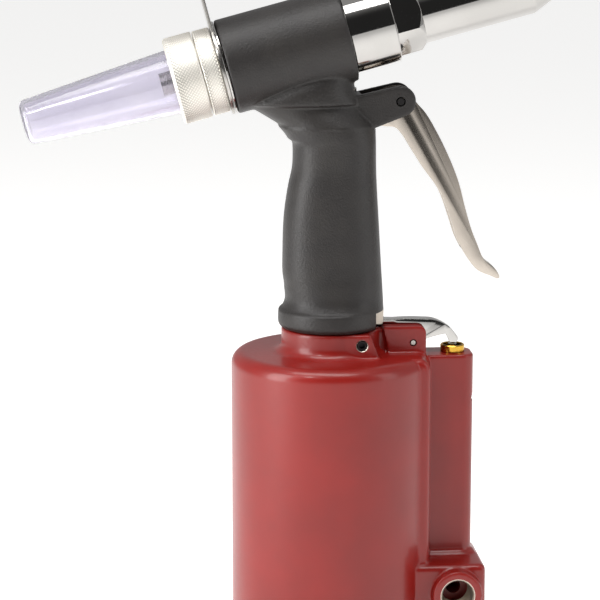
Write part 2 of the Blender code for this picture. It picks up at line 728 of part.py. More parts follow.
def make_air_piston():
    """Piston, its seal, the ram that it carries and the nut below, all on the cylinder's axis."""
    rim = CYLINDER_BORE_RADIUS - PISTON_CLEARANCE
    groove = rim - CAP_GROOVE_DEPTH
    low = PISTON_Z + (PISTON_THICKNESS - SEAL_HEIGHT) / 2
    high = low + SEAL_HEIGHT
    hole = RAM_STUD_RADIUS + GAP
    profile = [(hole, PISTON_TOP_Z), (rim, PISTON_TOP_Z), (rim, high), (groove, high), (groove, low)]
    profile += [(rim, low), (rim, PISTON_Z), (hole, PISTON_Z)]
    as_part(turned("piston", profile, FINE), "air_piston", aluminium())
    seal = ring_profile(CYLINDER_BORE_RADIUS - GAP, groove + GAP, low + GAP, high - GAP)
    as_part(turned("piston_seal", seal, FINE), "air_piston_seal", rubber())

    shoulder = PISTON_TOP_Z + GAP
    nut_low = PISTON_Z - GAP - RAM_NUT_HEIGHT
    profile = [(0, RAM_TOP_Z), (RAM_RADIUS, RAM_TOP_Z), (RAM_RADIUS, shoulder)]
    profile += [(RAM_STUD_RADIUS, shoulder), (RAM_STUD_RADIUS, nut_low), (0, nut_low)]
    as_part(turned("ram_body", profile, SMALL), "ram", machined_steel())
    corner = RAM_NUT_FLATS / 2 / cos(pi / 6)
    nut = cylinder("nut", (0, 0, nut_low), (0, 0, PISTON_Z - GAP), corner, 6)
    thread = cylinder("nut_thread", (0, 0, 0), (0, 0, PISTON_Z), hole, SMALL)
    as_part(cut(nut, thread), "ram_nut", machined_steel())

    top = CEILING_Z - GAP
    bumper = ring_profile(BUMPER_RADIUS, RAM_RADIUS + 4 * GAP, top - BUMPER_THICKNESS, top)
    as_part(turned("bumper", bumper), "piston_bumper", rubber())


def make_gland():
    """The bronze gland in the neck, with a spigot up into the handle and a seal round the ram."""
    flange = NECK_BORE_RADIUS - GAP
    low = GLAND_Z + GAP
    step = NECK_POCKET_Z
    groove = RAM_RADIUS + 0.0026
    seal_low = RAM_SEAL_Z
    seal_high = seal_low + SEAL_HEIGHT
    profile = [(GUIDE_RADIUS, GLAND_SPIGOT_TOP_Z), (TUBE_RADIUS, GLAND_SPIGOT_TOP_Z), (TUBE_RADIUS, step)]
    profile += [(flange, step), (flange, low), (GUIDE_RADIUS, low), (GUIDE_RADIUS, seal_low)]
    profile += [(groove, seal_low), (groove, seal_high), (GUIDE_RADIUS, seal_high)]
    as_part(turned("gland", profile), "ram_gland", brass())
    seal = ring_profile(groove - GAP, GUIDE_RADIUS, seal_low + GAP, seal_high - GAP)
    as_part(turned("gland_seal", seal, SMALL), "ram_seal", rubber())


# ---------------------------------------------------------------- valve train
def make_valve():
    """Brass bush, stem, seat, spring and end plug, in the valve block's bore."""
    face = VALVE_BLOCK_TOP_Z + GAP
    top = face + BUSH_COLLAR_HEIGHT
    shank = VALVE_BORE_RADIUS - GAP
    mouth_z = top - BUSH_MOUTH_DEPTH
    low = face - BUSH_SHANK_LENGTH
    guide = STEM_RADIUS + GAP
    profile = [(BUSH_MOUTH_RADIUS, top), (BUSH_COLLAR_RADIUS, top), (BUSH_COLLAR_RADIUS, face)]
    profile += [(shank, face), (shank, low), (guide, low), (guide, mouth_z), (BUSH_MOUTH_RADIUS, mouth_z)]
    place = (VALVE_X, 0, 0)
    as_part(turned("bush", profile, SMALL, location=place), "valve_bush", brass())

    head_top = STEM_HEAD_Z + STEM_HEAD_HEIGHT
    seal_low = STEM_HEAD_Z + 0.002
    seal_high = seal_low + 0.0018
    neck = STEM_HEAD_RADIUS - 0.0012
    profile = [(0, STEM_TOP_Z), (STEM_RADIUS, STEM_TOP_Z), (STEM_RADIUS, head_top)]
    profile += [(STEM_HEAD_RADIUS, head_top), (STEM_HEAD_RADIUS, seal_high), (neck, seal_high)]
    profile += [(neck, seal_low), (STEM_HEAD_RADIUS, seal_low), (STEM_HEAD_RADIUS, STEM_HEAD_Z)]
    profile += [(0, STEM_HEAD_Z)]
    as_part(turned("stem", profile, SMALL, location=place), "valve_stem", machined_steel())
    seal = ring_profile(VALVE_BORE_RADIUS - GAP, neck + GAP, seal_low + GAP, seal_high - GAP)
    as_part(turned("stem_seal_ring", seal, SMALL, location=place), "valve_stem_seal", rubber())

    seat_low = head_top + 2 * GAP
    seat_top = seat_low + VALVE_SEAT_THICKNESS
    seat = ring_profile(VALVE_BORE_RADIUS - GAP, STEM_RADIUS + 3 * GAP, seat_low, seat_top)
    as_part(turned("seat", seat, SMALL, location=place), "valve_seat", brass())
    low, high = VALVE_SHELF_Z + GAP, STEM_HEAD_Z - GAP
    coil(
        "valve_spring",
        VALVE_WIRE_RADIUS,
        VALVE_COIL_RADIUS,
        VALVE_TURNS,
        low,
        high,
        machined_steel(),
        centre=(VALVE_X, 0),
    )
    plug = rod_profile(VALVE_LOWER_RADIUS - GAP, CASTING_BOTTOM_Z, CASTING_BOTTOM_Z + PLUG_HEIGHT)
    as_part(turned("plug", plug, COARSE, location=place), "valve_end_plug", machined_steel())


def lever_outline():
    """The valve lever from its thin tongue, over the pin, round the bend to its tip."""
    pin_x, tongue_z, top, under = LEVER_PIN_X, LEVER_TONGUE_Z, LEVER_TOP_Z, LEVER_TOP_Z - LEVER_DEPTH
    tongue_top = tongue_z + LEVER_TONGUE_THICKNESS
    tongue_x = ROD_X - LEVER_TONGUE_OVERHANG
    tip_z = STEM_TOP_Z + GAP + LEVER_TIP_RADIUS
    outline = [
        (tongue_x, tongue_z, "VECTOR"),
        (tongue_x, tongue_top, "VECTOR"),
        (pin_x - 0.0080, tongue_top - 0.0004, "AUTO"),
        (pin_x - 0.0020, tongue_top - 0.0002, "AUTO"),
        (pin_x + 0.0047, top, "AUTO"),
        (VALVE_X - 0.0078, top - 0.0007, "AUTO"),
        (VALVE_X - 0.0016, top - 0.0040, "AUTO"),
        (VALVE_X + 0.0020, top - 0.0084, "AUTO"),
    ]
    for x, z in arc((VALVE_X, tip_z), LEVER_TIP_RADIUS, 0, -180, 4):
        outline.append((x, z, "VECTOR"))
    outline += [
        (VALVE_X - 0.0036, under + 0.0012, "AUTO"),
        (VALVE_X - 0.0068, under + 0.0006, "AUTO"),
        (pin_x + 0.0045, under - 0.0016, "AUTO"),
        (pin_x, LEVER_PIN_Z - 0.0027, "AUTO"),
        (pin_x - 0.0037, LEVER_PIN_Z - 0.0008, "AUTO"),
        (pin_x - 0.0055, tongue_z - 0.0022, "AUTO"),
        (pin_x - 0.0093, tongue_z, "VECTOR"),
    ]
    return [(x - LEVER_PIN_X, z - LEVER_PIN_Z, handle) for x, z, handle in outline]


def make_valve_lever():
    place = (LEVER_PIN_X, 0, LEVER_PIN_Z)
    lever = slab("lever", lever_outline(), LEVER_HALF_WIDTH, smooth=True, resolution=2, location=place)
    reach = LEVER_HALF_WIDTH + OVERSHOOT
    hole = cylinder(
        "lever_bore",
        (LEVER_PIN_X, -reach, LEVER_PIN_Z),
        (LEVER_PIN_X, reach, LEVER_PIN_Z),
        LEVER_PIN_RADIUS + GAP,
    )
    fork = block(
        "lever_fork",
        (ROD_X - 0.004, -ROD_RADIUS - 2 * GAP, LEVER_TONGUE_Z - OVERSHOOT),
        (ROD_X + ROD_RADIUS + 2 * GAP, ROD_RADIUS + 2 * GAP, LEVER_TOP_Z + OVERSHOOT),
    )
    low, high = LEVER_PIN_Z - 0.006, LEVER_TOP_Z - 0.0046
    near_x, far_x = VALVE_X - 0.0038, VALVE_X + 0.0057
    tip = LEVER_TIP_HALF_WIDTH
    shoulders = [
        block("tip_far_side", (near_x, tip, low), (far_x, reach, high)),
        block("tip_near_side", (near_x, -reach, low), (far_x, -tip, high)),
    ]
    cut(lever, hole, fork, *shoulders)
    as_part(lever, "valve_lever", chrome())
    half = EAR_HALF_WIDTH - GAP
    pin = cylinder(
        "lever_pin_body",
        (LEVER_PIN_X, -half, LEVER_PIN_Z),
        (LEVER_PIN_X, half, LEVER_PIN_Z),
        LEVER_PIN_RADIUS,
    )
    as_part(pin, "valve_lever_pin", machined_steel())


# ---------------------------------------------------------------- handle frame
# Share of the grip's span, rear edge, front edge, half width and squareness of each section.
GRIP_SECTIONS = (
    (0.0000, -0.0219, 0.0219, 0.0219, 2.0),
    (0.0142, -0.0232, 0.0232, 0.0230, 2.0),
    (0.0403, -0.0233, 0.0233, 0.0230, 2.0),
    (0.0672, -0.0217, 0.0232, 0.0213, 2.1),
    (0.0949, -0.0203, 0.0230, 0.0194, 2.2),
    (0.1542, -0.0207, 0.0225, 0.0183, 2.4),
    (0.2490, -0.0213, 0.0217, 0.0176, 2.5),
    (0.3834, -0.0207, 0.0207, 0.0173, 2.5),
    (0.4862, -0.0189, 0.0199, 0.0170, 2.5),
    (0.5573, -0.0170, 0.0195, 0.0168, 2.5),
    (0.6126, -0.0167, 0.0194, 0.0172, 2.5),
    (0.6601, -0.0191, 0.0193, 0.0178, 2.4),
    (0.6996, -0.0232, 0.0191, 0.0186, 2.4),
    (0.7273, -0.0281, 0.0180, 0.0192, 2.3),
    (0.7510, -0.0375, 0.0160, 0.0196, 2.2),
    (0.7866, -0.0360, 0.0128, 0.0190, 2.2),
    (0.8300, -0.0300, 0.0102, 0.0170, 2.2),
    (0.8972, -0.0140, 0.0098, 0.0130, 2.0),
)
GRIP_STEPS = 24


def section_point(section, step):
    """A point on a section's rounded outline."""
    share, rear, front, half_width, squareness = section
    angle = 2 * pi * step / GRIP_STEPS
    reach = (abs(cos(angle)) ** squareness + abs(sin(angle)) ** squareness) ** (-1 / squareness)
    x = (rear + front) / 2 + (front - rear) / 2 * reach * cos(angle)
    return x, half_width * reach * sin(angle), RIM_BOTTOM_Z + share * GRIP_SPAN


def grip_body():
    """The grip, lofted through its sections, which run from a round rim to the head's underside."""
    shape = bmesh.new()
    rings = []
    for section in GRIP_SECTIONS:
        rings.append([shape.verts.new(section_point(section, i)) for i in range(GRIP_STEPS)])
    for lower, upper in zip(rings, rings[1:]):
        for i in range(GRIP_STEPS):
            j = (i + 1) % GRIP_STEPS
            shape.faces.new((lower[i], lower[j], upper[j], upper[i]))
    shape.faces.new(reversed(rings[0]))
    shape.faces.new(rings[-1])
    mesh = bpy.data.meshes.new("grip")
    shape.to_mesh(mesh)
    shape.free()
    return add_object("grip", mesh)


def clevis():
    """The trigger's two ears in outline, rounded about the pivot."""
    outline = [(PIVOT_X - 0.0113, PIVOT_Z - 0.0115), (PIVOT_X - 0.0213, PIVOT_Z - 0.0115)]
    outline += [(PIVOT_X - 0.0213, PIVOT_Z + 0.0021)]
    outline += reversed(arc((PIVOT_X, PIVOT_Z), CLEVIS_RADIUS, -72, 108, 8))
    return slab("clevis", outline, CLEVIS_HALF_WIDTH)


def handle_hollows():
    head_bore = head_turned(
        "head_bore", rod_profile(HEAD_BORE_RADIUS, HEAD_REAR_S - OVERSHOOT, HEAD_FRONT_S + OVERSHOOT)
    )
    low = RIM_BOTTOM_Z - 0.02
    tube_bore = turned("tube_bore", rod_profile(TUBE_RADIUS + GAP, low, TUBE_TOP_Z + GAP))
    port = turned("oil_port", rod_profile(OIL_PORT_RADIUS, TUBE_TOP_Z, HEAD_HEIGHT - 0.008), COARSE)
    rod_channel = cylinder(
        "rod_channel", (ROD_X, 0, RIM_BOTTOM_Z + OVERSHOOT), (ROD_X, 0, PIVOT_Z), ROD_RADIUS + GAP
    )
    arm_slot = block(
        "arm_slot",
        (ARM_SLOT_X, -TRIGGER_SLOT_HALF_WIDTH, ARM_SLOT_Z),
        (PIVOT_X + 0.012, TRIGGER_SLOT_HALF_WIDTH, PIVOT_Z + 0.012),
    )
    tongue_slot = block(
        "tongue_slot",
        (ROD_X - 0.0030, -LEVER_SLOT_HALF_WIDTH, NECK_POCKET_Z),
        (ROD_X + 0.010, LEVER_SLOT_HALF_WIDTH, LEVER_TONGUE_Z + ROD_LIFT + 0.0055),
    )
    notches = [
        block(
            "lug_notch",
            (LUG_NOTCH_X, min(side * LUG_HALF_WIDTH, side * 0.028), EAR_TOP_Z),
            (LUG_NOTCH_X + 0.009, max(side * LUG_HALF_WIDTH, side * 0.028), LUG_NOTCH_TOP_Z),
        )
        for side in (-1, 1)
    ]
    ear_clearance = block(
        "ear_clearance",
        (LUG_NOTCH_X, -0.03, NECK_POCKET_Z),
        (LUG_NOTCH_X + 0.01, 0.03, EAR_TOP_Z + GAP),
    )
    reach = CLEVIS_HALF_WIDTH + OVERSHOOT
    pivot_hole = cylinder(
        "pivot_hole", (PIVOT_X, -reach, PIVOT_Z), (PIVOT_X, reach, PIVOT_Z), PIVOT_PIN_RADIUS + GAP
    )
    ends = (0, 0, BLEED_S), (0, HEAD_RADIUS + OVERSHOOT, BLEED_S)
    bleed_hole = cylinder("bleed_hole", *ends, BLEED_RADIUS + GAP, parent=head_axis)
    holes = (tube_bore, port, rod_channel, pivot_hole, bleed_hole)
    return (head_bore, arm_slot, tongue_slot, *notches, ear_clearance, *holes)


def make_handle():
    head = head_turned("head_barrel_body", rod_profile(HEAD_RADIUS, HEAD_REAR_S, HEAD_FRONT_S), FINE)
    spigot_low = NECK_POCKET_Z + GAP
    spigot = turned("spigot", rod_profile(SPIGOT_RADIUS, spigot_low, RIM_BOTTOM_Z + 0.003))
    body = grip_body()
    join(body, head, clevis(), spigot)
    cut(body, *handle_hollows())
    as_part(body, "handle_frame", black_coating())

    tube = ring_profile(TUBE_RADIUS, TUBE_BORE_RADIUS, TUBE_BOTTOM_Z, TUBE_TOP_Z)
    as_part(turned("tube", tube), "hydraulic_tube", machined_steel())
    face = HEAD_RADIUS + GAP
    inner, outer = (0, HEAD_BORE_RADIUS + GAP, BLEED_S), (0, face + 0.001, BLEED_S)
    screw = cylinder("bleed_shank", inner, outer, BLEED_RADIUS, parent=head_axis)
    low, high = (0, face, BLEED_S), (0, face + BLEED_HEAD_HEIGHT, BLEED_S)
    button = cylinder("bleed_head", low, high, BLEED_HEAD_RADIUS, parent=head_axis)
    as_part(join(screw, button), "bleed_screw", black_oxide())


# ---------------------------------------------------------------- trigger and its rod
# The trigger's outline about its pivot: its outer edge downward, its inner edge upward, its arm.
TRIGGER_OUTER = (
    (0.0069, -0.0003), (0.0113, -0.0054), (0.0169, -0.0149), (0.0225, -0.0265), (0.0262, -0.0361),
    (0.0293, -0.0478), (0.0320, -0.0567), (0.0347, -0.0634), (0.0377, -0.0701), (0.0429, -0.0746),
    (0.0448, -0.0784),
)
TRIGGER_INNER = (
    (0.0437, -0.0789), (0.0415, -0.0779), (0.0348, -0.0749), (0.0303, -0.0692), (0.0258, -0.0610),
    (0.0228, -0.0521), (0.0182, -0.0400), (0.0116, -0.0308), (0.0064, -0.0227), (0.0013, -0.0147),
    (-0.0024, -0.0114), (-0.0067, -0.0110),
)
TRIGGER_ARM = (
    (-0.0118, -0.0096), (-0.0141, -0.0061), (-0.0153, -0.0019), (-0.0123, 0.0014), (-0.0053, 0.0048),
    (0.0007, 0.0058), (0.0047, 0.0040),
)
TRIGGER_CHANNEL_BACK = [(0.0157, -0.0681), (-0.0243, -0.0681), (-0.0243, 0.0119), (0.0037, 0.0119)]
WEB_SHIFT_X = TRIGGER_WEB * 0.87
WEB_SHIFT_Z = TRIGGER_WEB * 0.5


def make_trigger():
    """A channel with its web outward and two flanges that reach back past the pivot."""
    outline = TRIGGER_OUTER + TRIGGER_INNER + TRIGGER_ARM
    place = (PIVOT_X, 0, PIVOT_Z)
    trigger = slab("trigger_body", outline, TRIGGER_HALF_WIDTH, location=place)
    inside = [(x - WEB_SHIFT_X, z - WEB_SHIFT_Z) for x, z in TRIGGER_OUTER[1:8]]
    inside += TRIGGER_CHANNEL_BACK
    channel = slab("trigger_channel", inside, TRIGGER_HALF_WIDTH - TRIGGER_WALL, location=place)
    reach = TRIGGER_HALF_WIDTH + OVERSHOOT
    pivot = cylinder(
        "trigger_bore", (PIVOT_X, -reach, PIVOT_Z), (PIVOT_X, reach, PIVOT_Z), PIVOT_PIN_RADIUS + GAP
    )
    link = cylinder(
        "link_bore", (ROD_X, -reach, LINK_Z), (ROD_X, reach, LINK_Z), LINK_PIN_RADIUS + GAP, 12
    )
    as_part(cut(trigger, channel, pivot, link), "trigger", satin_nickel())

    half = CLEVIS_HALF_WIDTH - GAP
    pin = cylinder("pivot_pin", (PIVOT_X, -half, PIVOT_Z), (PIVOT_X, half, PIVOT_Z), PIVOT_PIN_RADIUS)
    as_part(pin, "trigger_pin", machined_steel())
    half = TRIGGER_HALF_WIDTH - GAP
    pin = cylinder("link_pin_body", (ROD_X, -half, LINK_Z), (ROD_X, half, LINK_Z), LINK_PIN_RADIUS, 12)
    as_part(pin, "trigger_link_pin", machined_steel())


def make_trigger_rod():
    """The pull rod: an eye round the trigger's link pin, and a cross foot under the valve lever."""
    rod = cylinder("rod", (ROD_X, 0, ROD_FOOT_Z), (ROD_X, 0, LINK_Z - 0.0015), ROD_RADIUS, 12)
    half = ROD_EYE_HALF_WIDTH
    eye = cylinder("rod_eye", (ROD_X, -half, LINK_Z), (ROD_X, half, LINK_Z), ROD_EYE_RADIUS, 16)
    foot_half = LEVER_HALF_WIDTH - GAP
    foot = cylinder(
        "rod_foot", (ROD_X, -foot_half, ROD_FOOT_Z), (ROD_X, foot_half, ROD_FOOT_Z), ROD_FOOT_RADIUS, 12
    )
    reach = half + OVERSHOOT
    hole = cylinder(
        "rod_eye_hole", (ROD_X, -reach, LINK_Z), (ROD_X, reach, LINK_Z), LINK_PIN_RADIUS + ROD_EYE_SLACK
    )
    as_part(cut(join(rod, eye, foot), hole), "trigger_rod", machined_steel())


# ---------------------------------------------------------------- pulling head
def make_head_barrel():
    """The chromed barrel: a short spigot in the head, a guide for the pull rod and a nose socket."""
    rear = HEAD_FRONT_S + GAP
    spigot = HEAD_BORE_RADIUS - GAP
    spigot_rear = rear - BARREL_SPIGOT_LENGTH
    socket = BARREL_RADIUS - BARREL_WALL
    guide = PULL_ROD_RADIUS + GAP
    groove = guide + 0.0022
    seal_low, seal_high = HEAD_FRONT_S - 0.002, HEAD_FRONT_S + 0.001
    profile = [(socket, BARREL_FRONT_S), (BARREL_RADIUS, BARREL_FRONT_S), (BARREL_RADIUS, rear)]
    profile += [(spigot, rear), (spigot, spigot_rear), (guide, spigot_rear), (guide, seal_low)]
    profile += [(groove, seal_low), (groove, seal_high), (guide, seal_high)]
    profile += [(guide, BARREL_SOCKET_S), (socket, BARREL_SOCKET_S)]
    as_part(head_turned("barrel", profile), "head_barrel", chrome())
    seal = ring_profile(groove - GAP, guide, seal_low + GAP, seal_high - GAP)
    as_part(head_turned("barrel_seal", seal, SMALL), "rod_seal", rubber())


def make_pull_piston():
    """The hydraulic piston with its hollow rod, its seal and the tube that leads mandrels back."""
    front = PULL_PISTON_FRONT_S
    rear = front - PULL_PISTON_THICKNESS
    seal_low = rear + (PULL_PISTON_THICKNESS - SEAL_HEIGHT) / 2
    seal_high = seal_low + SEAL_HEIGHT
    groove = PISTON_BODY_RADIUS - 0.0022
    socket = MANDREL_TUBE_RADIUS + GAP
    socket_end = rear + 0.006
    bore = MANDREL_BORE_RADIUS
    rod = PULL_ROD_RADIUS
    profile = [(bore, PULL_ROD_FRONT_S), (rod, PULL_ROD_FRONT_S), (rod, front), (PISTON_BODY_RADIUS, front)]
    profile += [(PISTON_BODY_RADIUS, seal_high), (groove, seal_high), (groove, seal_low)]
    profile += [(PISTON_BODY_RADIUS, seal_low), (PISTON_BODY_RADIUS, rear), (socket, rear)]
    profile += [(socket, socket_end), (bore, socket_end)]
    as_part(head_turned("pull", profile, s=front), "pull_piston", machined_steel())
    seal = ring_profile(PISTON_BODY_RADIUS, groove + GAP, seal_low + GAP, seal_high - GAP)
    as_part(head_turned("pull_seal", seal, s=front), "pull_piston_seal", rubber())
    tube = ring_profile(MANDREL_TUBE_RADIUS, bore, MANDREL_TUBE_REAR_S, socket_end - GAP)
    as_part(head_turned("tube_body", tube, SMALL, s=front), "mandrel_tube", machined_steel())


def make_rear_cap():
    """The knurled cap, its two seals, and the spring seat behind the pull piston."""
    flange = REAR_CAP_RADIUS
    spigot = HEAD_BORE_RADIUS - GAP
    front = CAP_SPIGOT_FRONT_S
    recess = spigot - REAR_CAP_WALL
    seat = RETURN_COIL_RADIUS + RETURN_WIRE_RADIUS + GAP
    tube_hole = MANDREL_TUBE_RADIUS + GAP
    seal_groove = tube_hole + 0.0021
    groove_low, groove_high = REAR_CAP_REAR_S - 0.0035, REAR_CAP_REAR_S - 0.0006
    thread_end = REAR_CAP_REAR_S - REAR_THREAD_LENGTH
    profile = [(min(seat, recess), front), (spigot, front), (spigot, REAR_CAP_FRONT_S)]
    profile += [(flange, REAR_CAP_FRONT_S), (flange, REAR_CAP_REAR_S)]
    profile += [(REAR_THREAD_RADIUS, REAR_CAP_REAR_S), (REAR_THREAD_RADIUS, thread_end)]
    profile += [(tube_hole, thread_end), (tube_hole, groove_low), (seal_groove, groove_low)]
    profile += [(seal_groove, groove_high), (tube_hole, groove_high)]
    profile += [(tube_hole, REAR_CAP_FLOOR_S), (min(seat, recess), REAR_CAP_FLOOR_S)]
    as_part(head_turned("rear_cap_body", profile, FINE), "rear_cap", knurled_steel())
    seal = ring_profile(seal_groove - GAP, tube_hole, groove_low + GAP, groove_high - GAP)
    as_part(head_turned("guide_seal", seal, SMALL), "mandrel_tube_seal", rubber())


def make_hanger():
    """The washer and the hanger plate, clamped between the head and the rear cap."""
    washer_high = HEAD_REAR_S - GAP
    washer_low = washer_high - WASHER_THICKNESS
    hole = HEAD_BORE_RADIUS + GAP
    washer = ring_profile(WASHER_RADIUS, hole, washer_low, washer_high)
    as_part(head_turned("washer", washer, FINE), "head_washer", chrome())

    plate_high = washer_low - GAP
    plate = head_turned(
        "hanger_disc", rod_profile(HANGER_RADIUS, plate_high - HANGER_THICKNESS, plate_high), FINE
    )
    tongue = [(-x, y) for x, y in arc((HANGER_RISE - HANGER_HALF_WIDTH, 0), HANGER_HALF_WIDTH, -90, 90, 8)]
    shape = bmesh.new()
    rim = [(-0.010, -HANGER_HALF_WIDTH)] + tongue + [(-0.010, HANGER_HALF_WIDTH)]
    shape.faces.new([shape.verts.new((x, y, plate_high)) for x, y in rim])
    bmesh.ops.recalc_face_normals(shape, faces=shape.faces)
    sides = bmesh.ops.extrude_face_region(shape, geom=shape.faces[:])["geom"]
    moved = [item for item in sides if isinstance(item, bmesh.types.BMVert)]
    bmesh.ops.translate(shape, vec=(0, 0, -HANGER_THICKNESS), verts=moved)
    everything = shape.verts[:] + shape.edges[:] + shape.faces[:]
    bmesh.ops.bisect_plane(shape, geom=everything, plane_co=(-HANGER_BEND, 0, 0), plane_no=(1, 0, 0))
    for vert in shape.verts:
        past = max(0.0, -vert.co.x - HANGER_BEND)
        vert.co.z -= past * tan(HANGER_LEAN)
    bmesh.ops.recalc_face_normals(shape, faces=shape.faces)
    mesh = bpy.data.meshes.new("hanger_tongue")
    shape.to_mesh(mesh)
    shape.free()
    strip = add_object("hanger_tongue", mesh, parent=head_axis)
    centre_x = -(HANGER_RISE - HANGER_HALF_WIDTH)
    eye_z = plate_high - (HANGER_RISE - HANGER_HALF_WIDTH - HANGER_BEND) * tan(HANGER_LEAN)
    ends = (centre_x, 0, eye_z - 0.012), (centre_x, 0, eye_z + 0.012)
    eye = cylinder("hanger_eye", *ends, HANGER_EYE_RADIUS, SMALL, parent=head_axis)
    ends = (0, 0, plate_high - 0.02), (0, 0, plate_high + 0.02)
    middle = cylinder("hanger_hole", *ends, hole, ROUND, parent=head_axis)
    as_part(cut(join(plate, strip), eye, middle), "hanger_plate", machined_steel())


def make_bottle():
    """The knurled collar, threaded on the rear cap, and the clear bottle that it holds."""
    thread = REAR_THREAD_RADIUS + GAP
    front = REAR_CAP_REAR_S - 0.0002 - GAP
    flange_front = REAR_CAP_REAR_S - REAR_THREAD_LENGTH - 2 * GAP
    flange_rear = flange_front - BOTTLE_FLANGE_THICKNESS
    inner_floor = flange_rear - GAP
    lip = BOTTLE_NECK_RADIUS + 2 * GAP
    chamfer = COLLAR_CHAMFER
    profile = [(thread, front), (COLLAR_RADIUS - chamfer / 2, front), (COLLAR_RADIUS, front - chamfer / 2)]
    profile += [(COLLAR_RADIUS, COLLAR_REAR_S + chamfer), (COLLAR_RADIUS - chamfer, COLLAR_REAR_S)]
    profile += [(lip, COLLAR_REAR_S), (lip, inner_floor), (thread, inner_floor)]
    as_part(head_turned("collar", profile, FINE, s=COLLAR_REAR_S), "bottle_collar", knurled_steel())

    slope = (BOTTLE_NECK_RADIUS - BOTTLE_TIP_RADIUS) / (COLLAR_REAR_S - BOTTLE_TIP_S)
    tip_centre = (BOTTLE_TIP_RADIUS - BOTTLE_TIP_ROUND, BOTTLE_TIP_S + BOTTLE_TIP_ROUND)
    inner_tip = BOTTLE_TIP_RADIUS - BOTTLE_WALL + slope * BOTTLE_WALL
    inner_neck = BOTTLE_NECK_RADIUS - BOTTLE_WALL
    flange = BOTTLE_FLANGE_RADIUS
    profile = [(inner_neck, flange_front), (flange, flange_front), (flange, flange_rear)]
    profile += [(BOTTLE_NECK_RADIUS, flange_rear), (BOTTLE_NECK_RADIUS, COLLAR_REAR_S)]
    profile += arc(tip_centre, BOTTLE_TIP_ROUND, 0, -90, 4) + [(0, BOTTLE_TIP_S)]
    inside = [(0, BOTTLE_TIP_S + BOTTLE_WALL), (inner_tip - 0.0015, BOTTLE_TIP_S + BOTTLE_WALL)]
    inside += [(inner_tip, BOTTLE_TIP_S + 2 * BOTTLE_WALL), (inner_neck, COLLAR_REAR_S)]
    hollow = [(0, flange_front + OVERSHOOT), (inner_neck, flange_front + OVERSHOOT)] + inside[::-1]
    outer = [(0, flange_front)] + profile[1:]
    shell = head_turned("bottle_body", outer, FINE, s=COLLAR_REAR_S)
    space = head_turned("bottle_space", hollow, FINE, s=COLLAR_REAR_S)
    as_part(cut(shell, space), "mandrel_bottle", clear_plastic())


# ---------------------------------------------------------------- nose, jaw case and jaws
def make_nose():
    """Hexagon, sleeve and cone in one piece, and the nosepiece screwed into its end."""
    spigot = BARREL_RADIUS - BARREL_WALL - GAP
    bore = SLEEVE_BORE_RADIUS
    inner_end = CASE_FRONT_S + 2 * GAP
    nose_bore = NOSE_BORE_RADIUS
    profile = [(nose_bore, NOSE_CONE_S), (NOSE_CONE_RADIUS, NOSE_CONE_S), (SLEEVE_RADIUS, SLEEVE_FRONT_S)]
    profile += [(SLEEVE_RADIUS, HEX_CHAMFER_S - 0.001), (SLEEVE_RADIUS, HEX_REAR_S)]
    profile += [(spigot, HEX_REAR_S), (spigot, NOSE_SPIGOT_REAR_S), (bore, NOSE_SPIGOT_REAR_S)]
    profile += [(bore, inner_end), (nose_bore, inner_end + (bore - nose_bore) * 0.9)]
    body = head_turned("nose_body", profile)
    ends = (0, 0, HEX_REAR_S), (0, 0, HEX_CHAMFER_S)
    hexagon = cylinder("hexagon", *ends, HEX_CORNER, 6, parent=head_axis)
    hexagon.rotation_euler = (0, 0, HEX_TURN)
    limit = head_turned(
        "hexagon_limit",
        [
            (0, HEX_CHAMFER_S),
            (SLEEVE_RADIUS + 0.0001, HEX_CHAMFER_S),
            (HEX_CORNER + 0.0002, HEX_FRONT_S),
            (HEX_CORNER + 0.0002, HEX_REAR_S + 0.0006),
            (HEX_CORNER - 0.0008, HEX_REAR_S - OVERSHOOT),
            (0, HEX_REAR_S - OVERSHOOT),
        ],
    )
    clear = head_turned("hexagon_bore", rod_profile(bore + 0.0005, HEX_REAR_S - 0.01, HEX_CHAMFER_S + 0.01))
    combine(hexagon, [limit], "INTERSECT")
    cut(hexagon, clear)
    as_part(join(body, hexagon), "nose_housing", chrome())

    shank = NOSE_BORE_RADIUS - GAP
    front = NOSE_CONE_S + GAP
    hole = NOSEPIECE_HOLE_RADIUS
    profile = [(hole, NOSEPIECE_FRONT_S), (NOSEPIECE_RADIUS - 0.0006, NOSEPIECE_FRONT_S)]
    profile += [(NOSEPIECE_RADIUS, NOSEPIECE_FRONT_S - 0.0006), (NOSEPIECE_RADIUS, front), (shank, front)]
    profile += [(shank, NOSEPIECE_REAR_S + 0.002), (0.0026, NOSEPIECE_REAR_S), (hole, NOSEPIECE_REAR_S)]
    as_part(head_turned("tip", profile, SMALL), "nosepiece", machined_steel())


def make_jaw_case():
    thread = PULL_ROD_RADIUS + GAP
    outer = SLEEVE_BORE_RADIUS - GAP
    profile = [(CASE_MOUTH_RADIUS, CASE_FRONT_S), (outer, CASE_FRONT_S), (outer, CASE_REAR_S)]
    profile += [(thread, CASE_REAR_S), (thread, CASE_CHAMBER_S - 0.006), (CHAMBER_RADIUS, CASE_CHAMBER_S)]
    as_part(head_turned("case", profile, s=PULL_PISTON_FRONT_S), "jaw_case", machined_steel())
    high = CASE_REAR_S - GAP
    nut = ring_profile(outer, thread, high - LOCK_NUT_LENGTH, high)
    as_part(head_turned("lock_nut", nut, s=PULL_PISTON_FRONT_S), "jaw_lock_nut", machined_steel())


def cone_radius(s):
    """The jaw case's inner cone."""
    return CHAMBER_RADIUS - (s - CASE_CHAMBER_S) * tan(JAW_CONE)


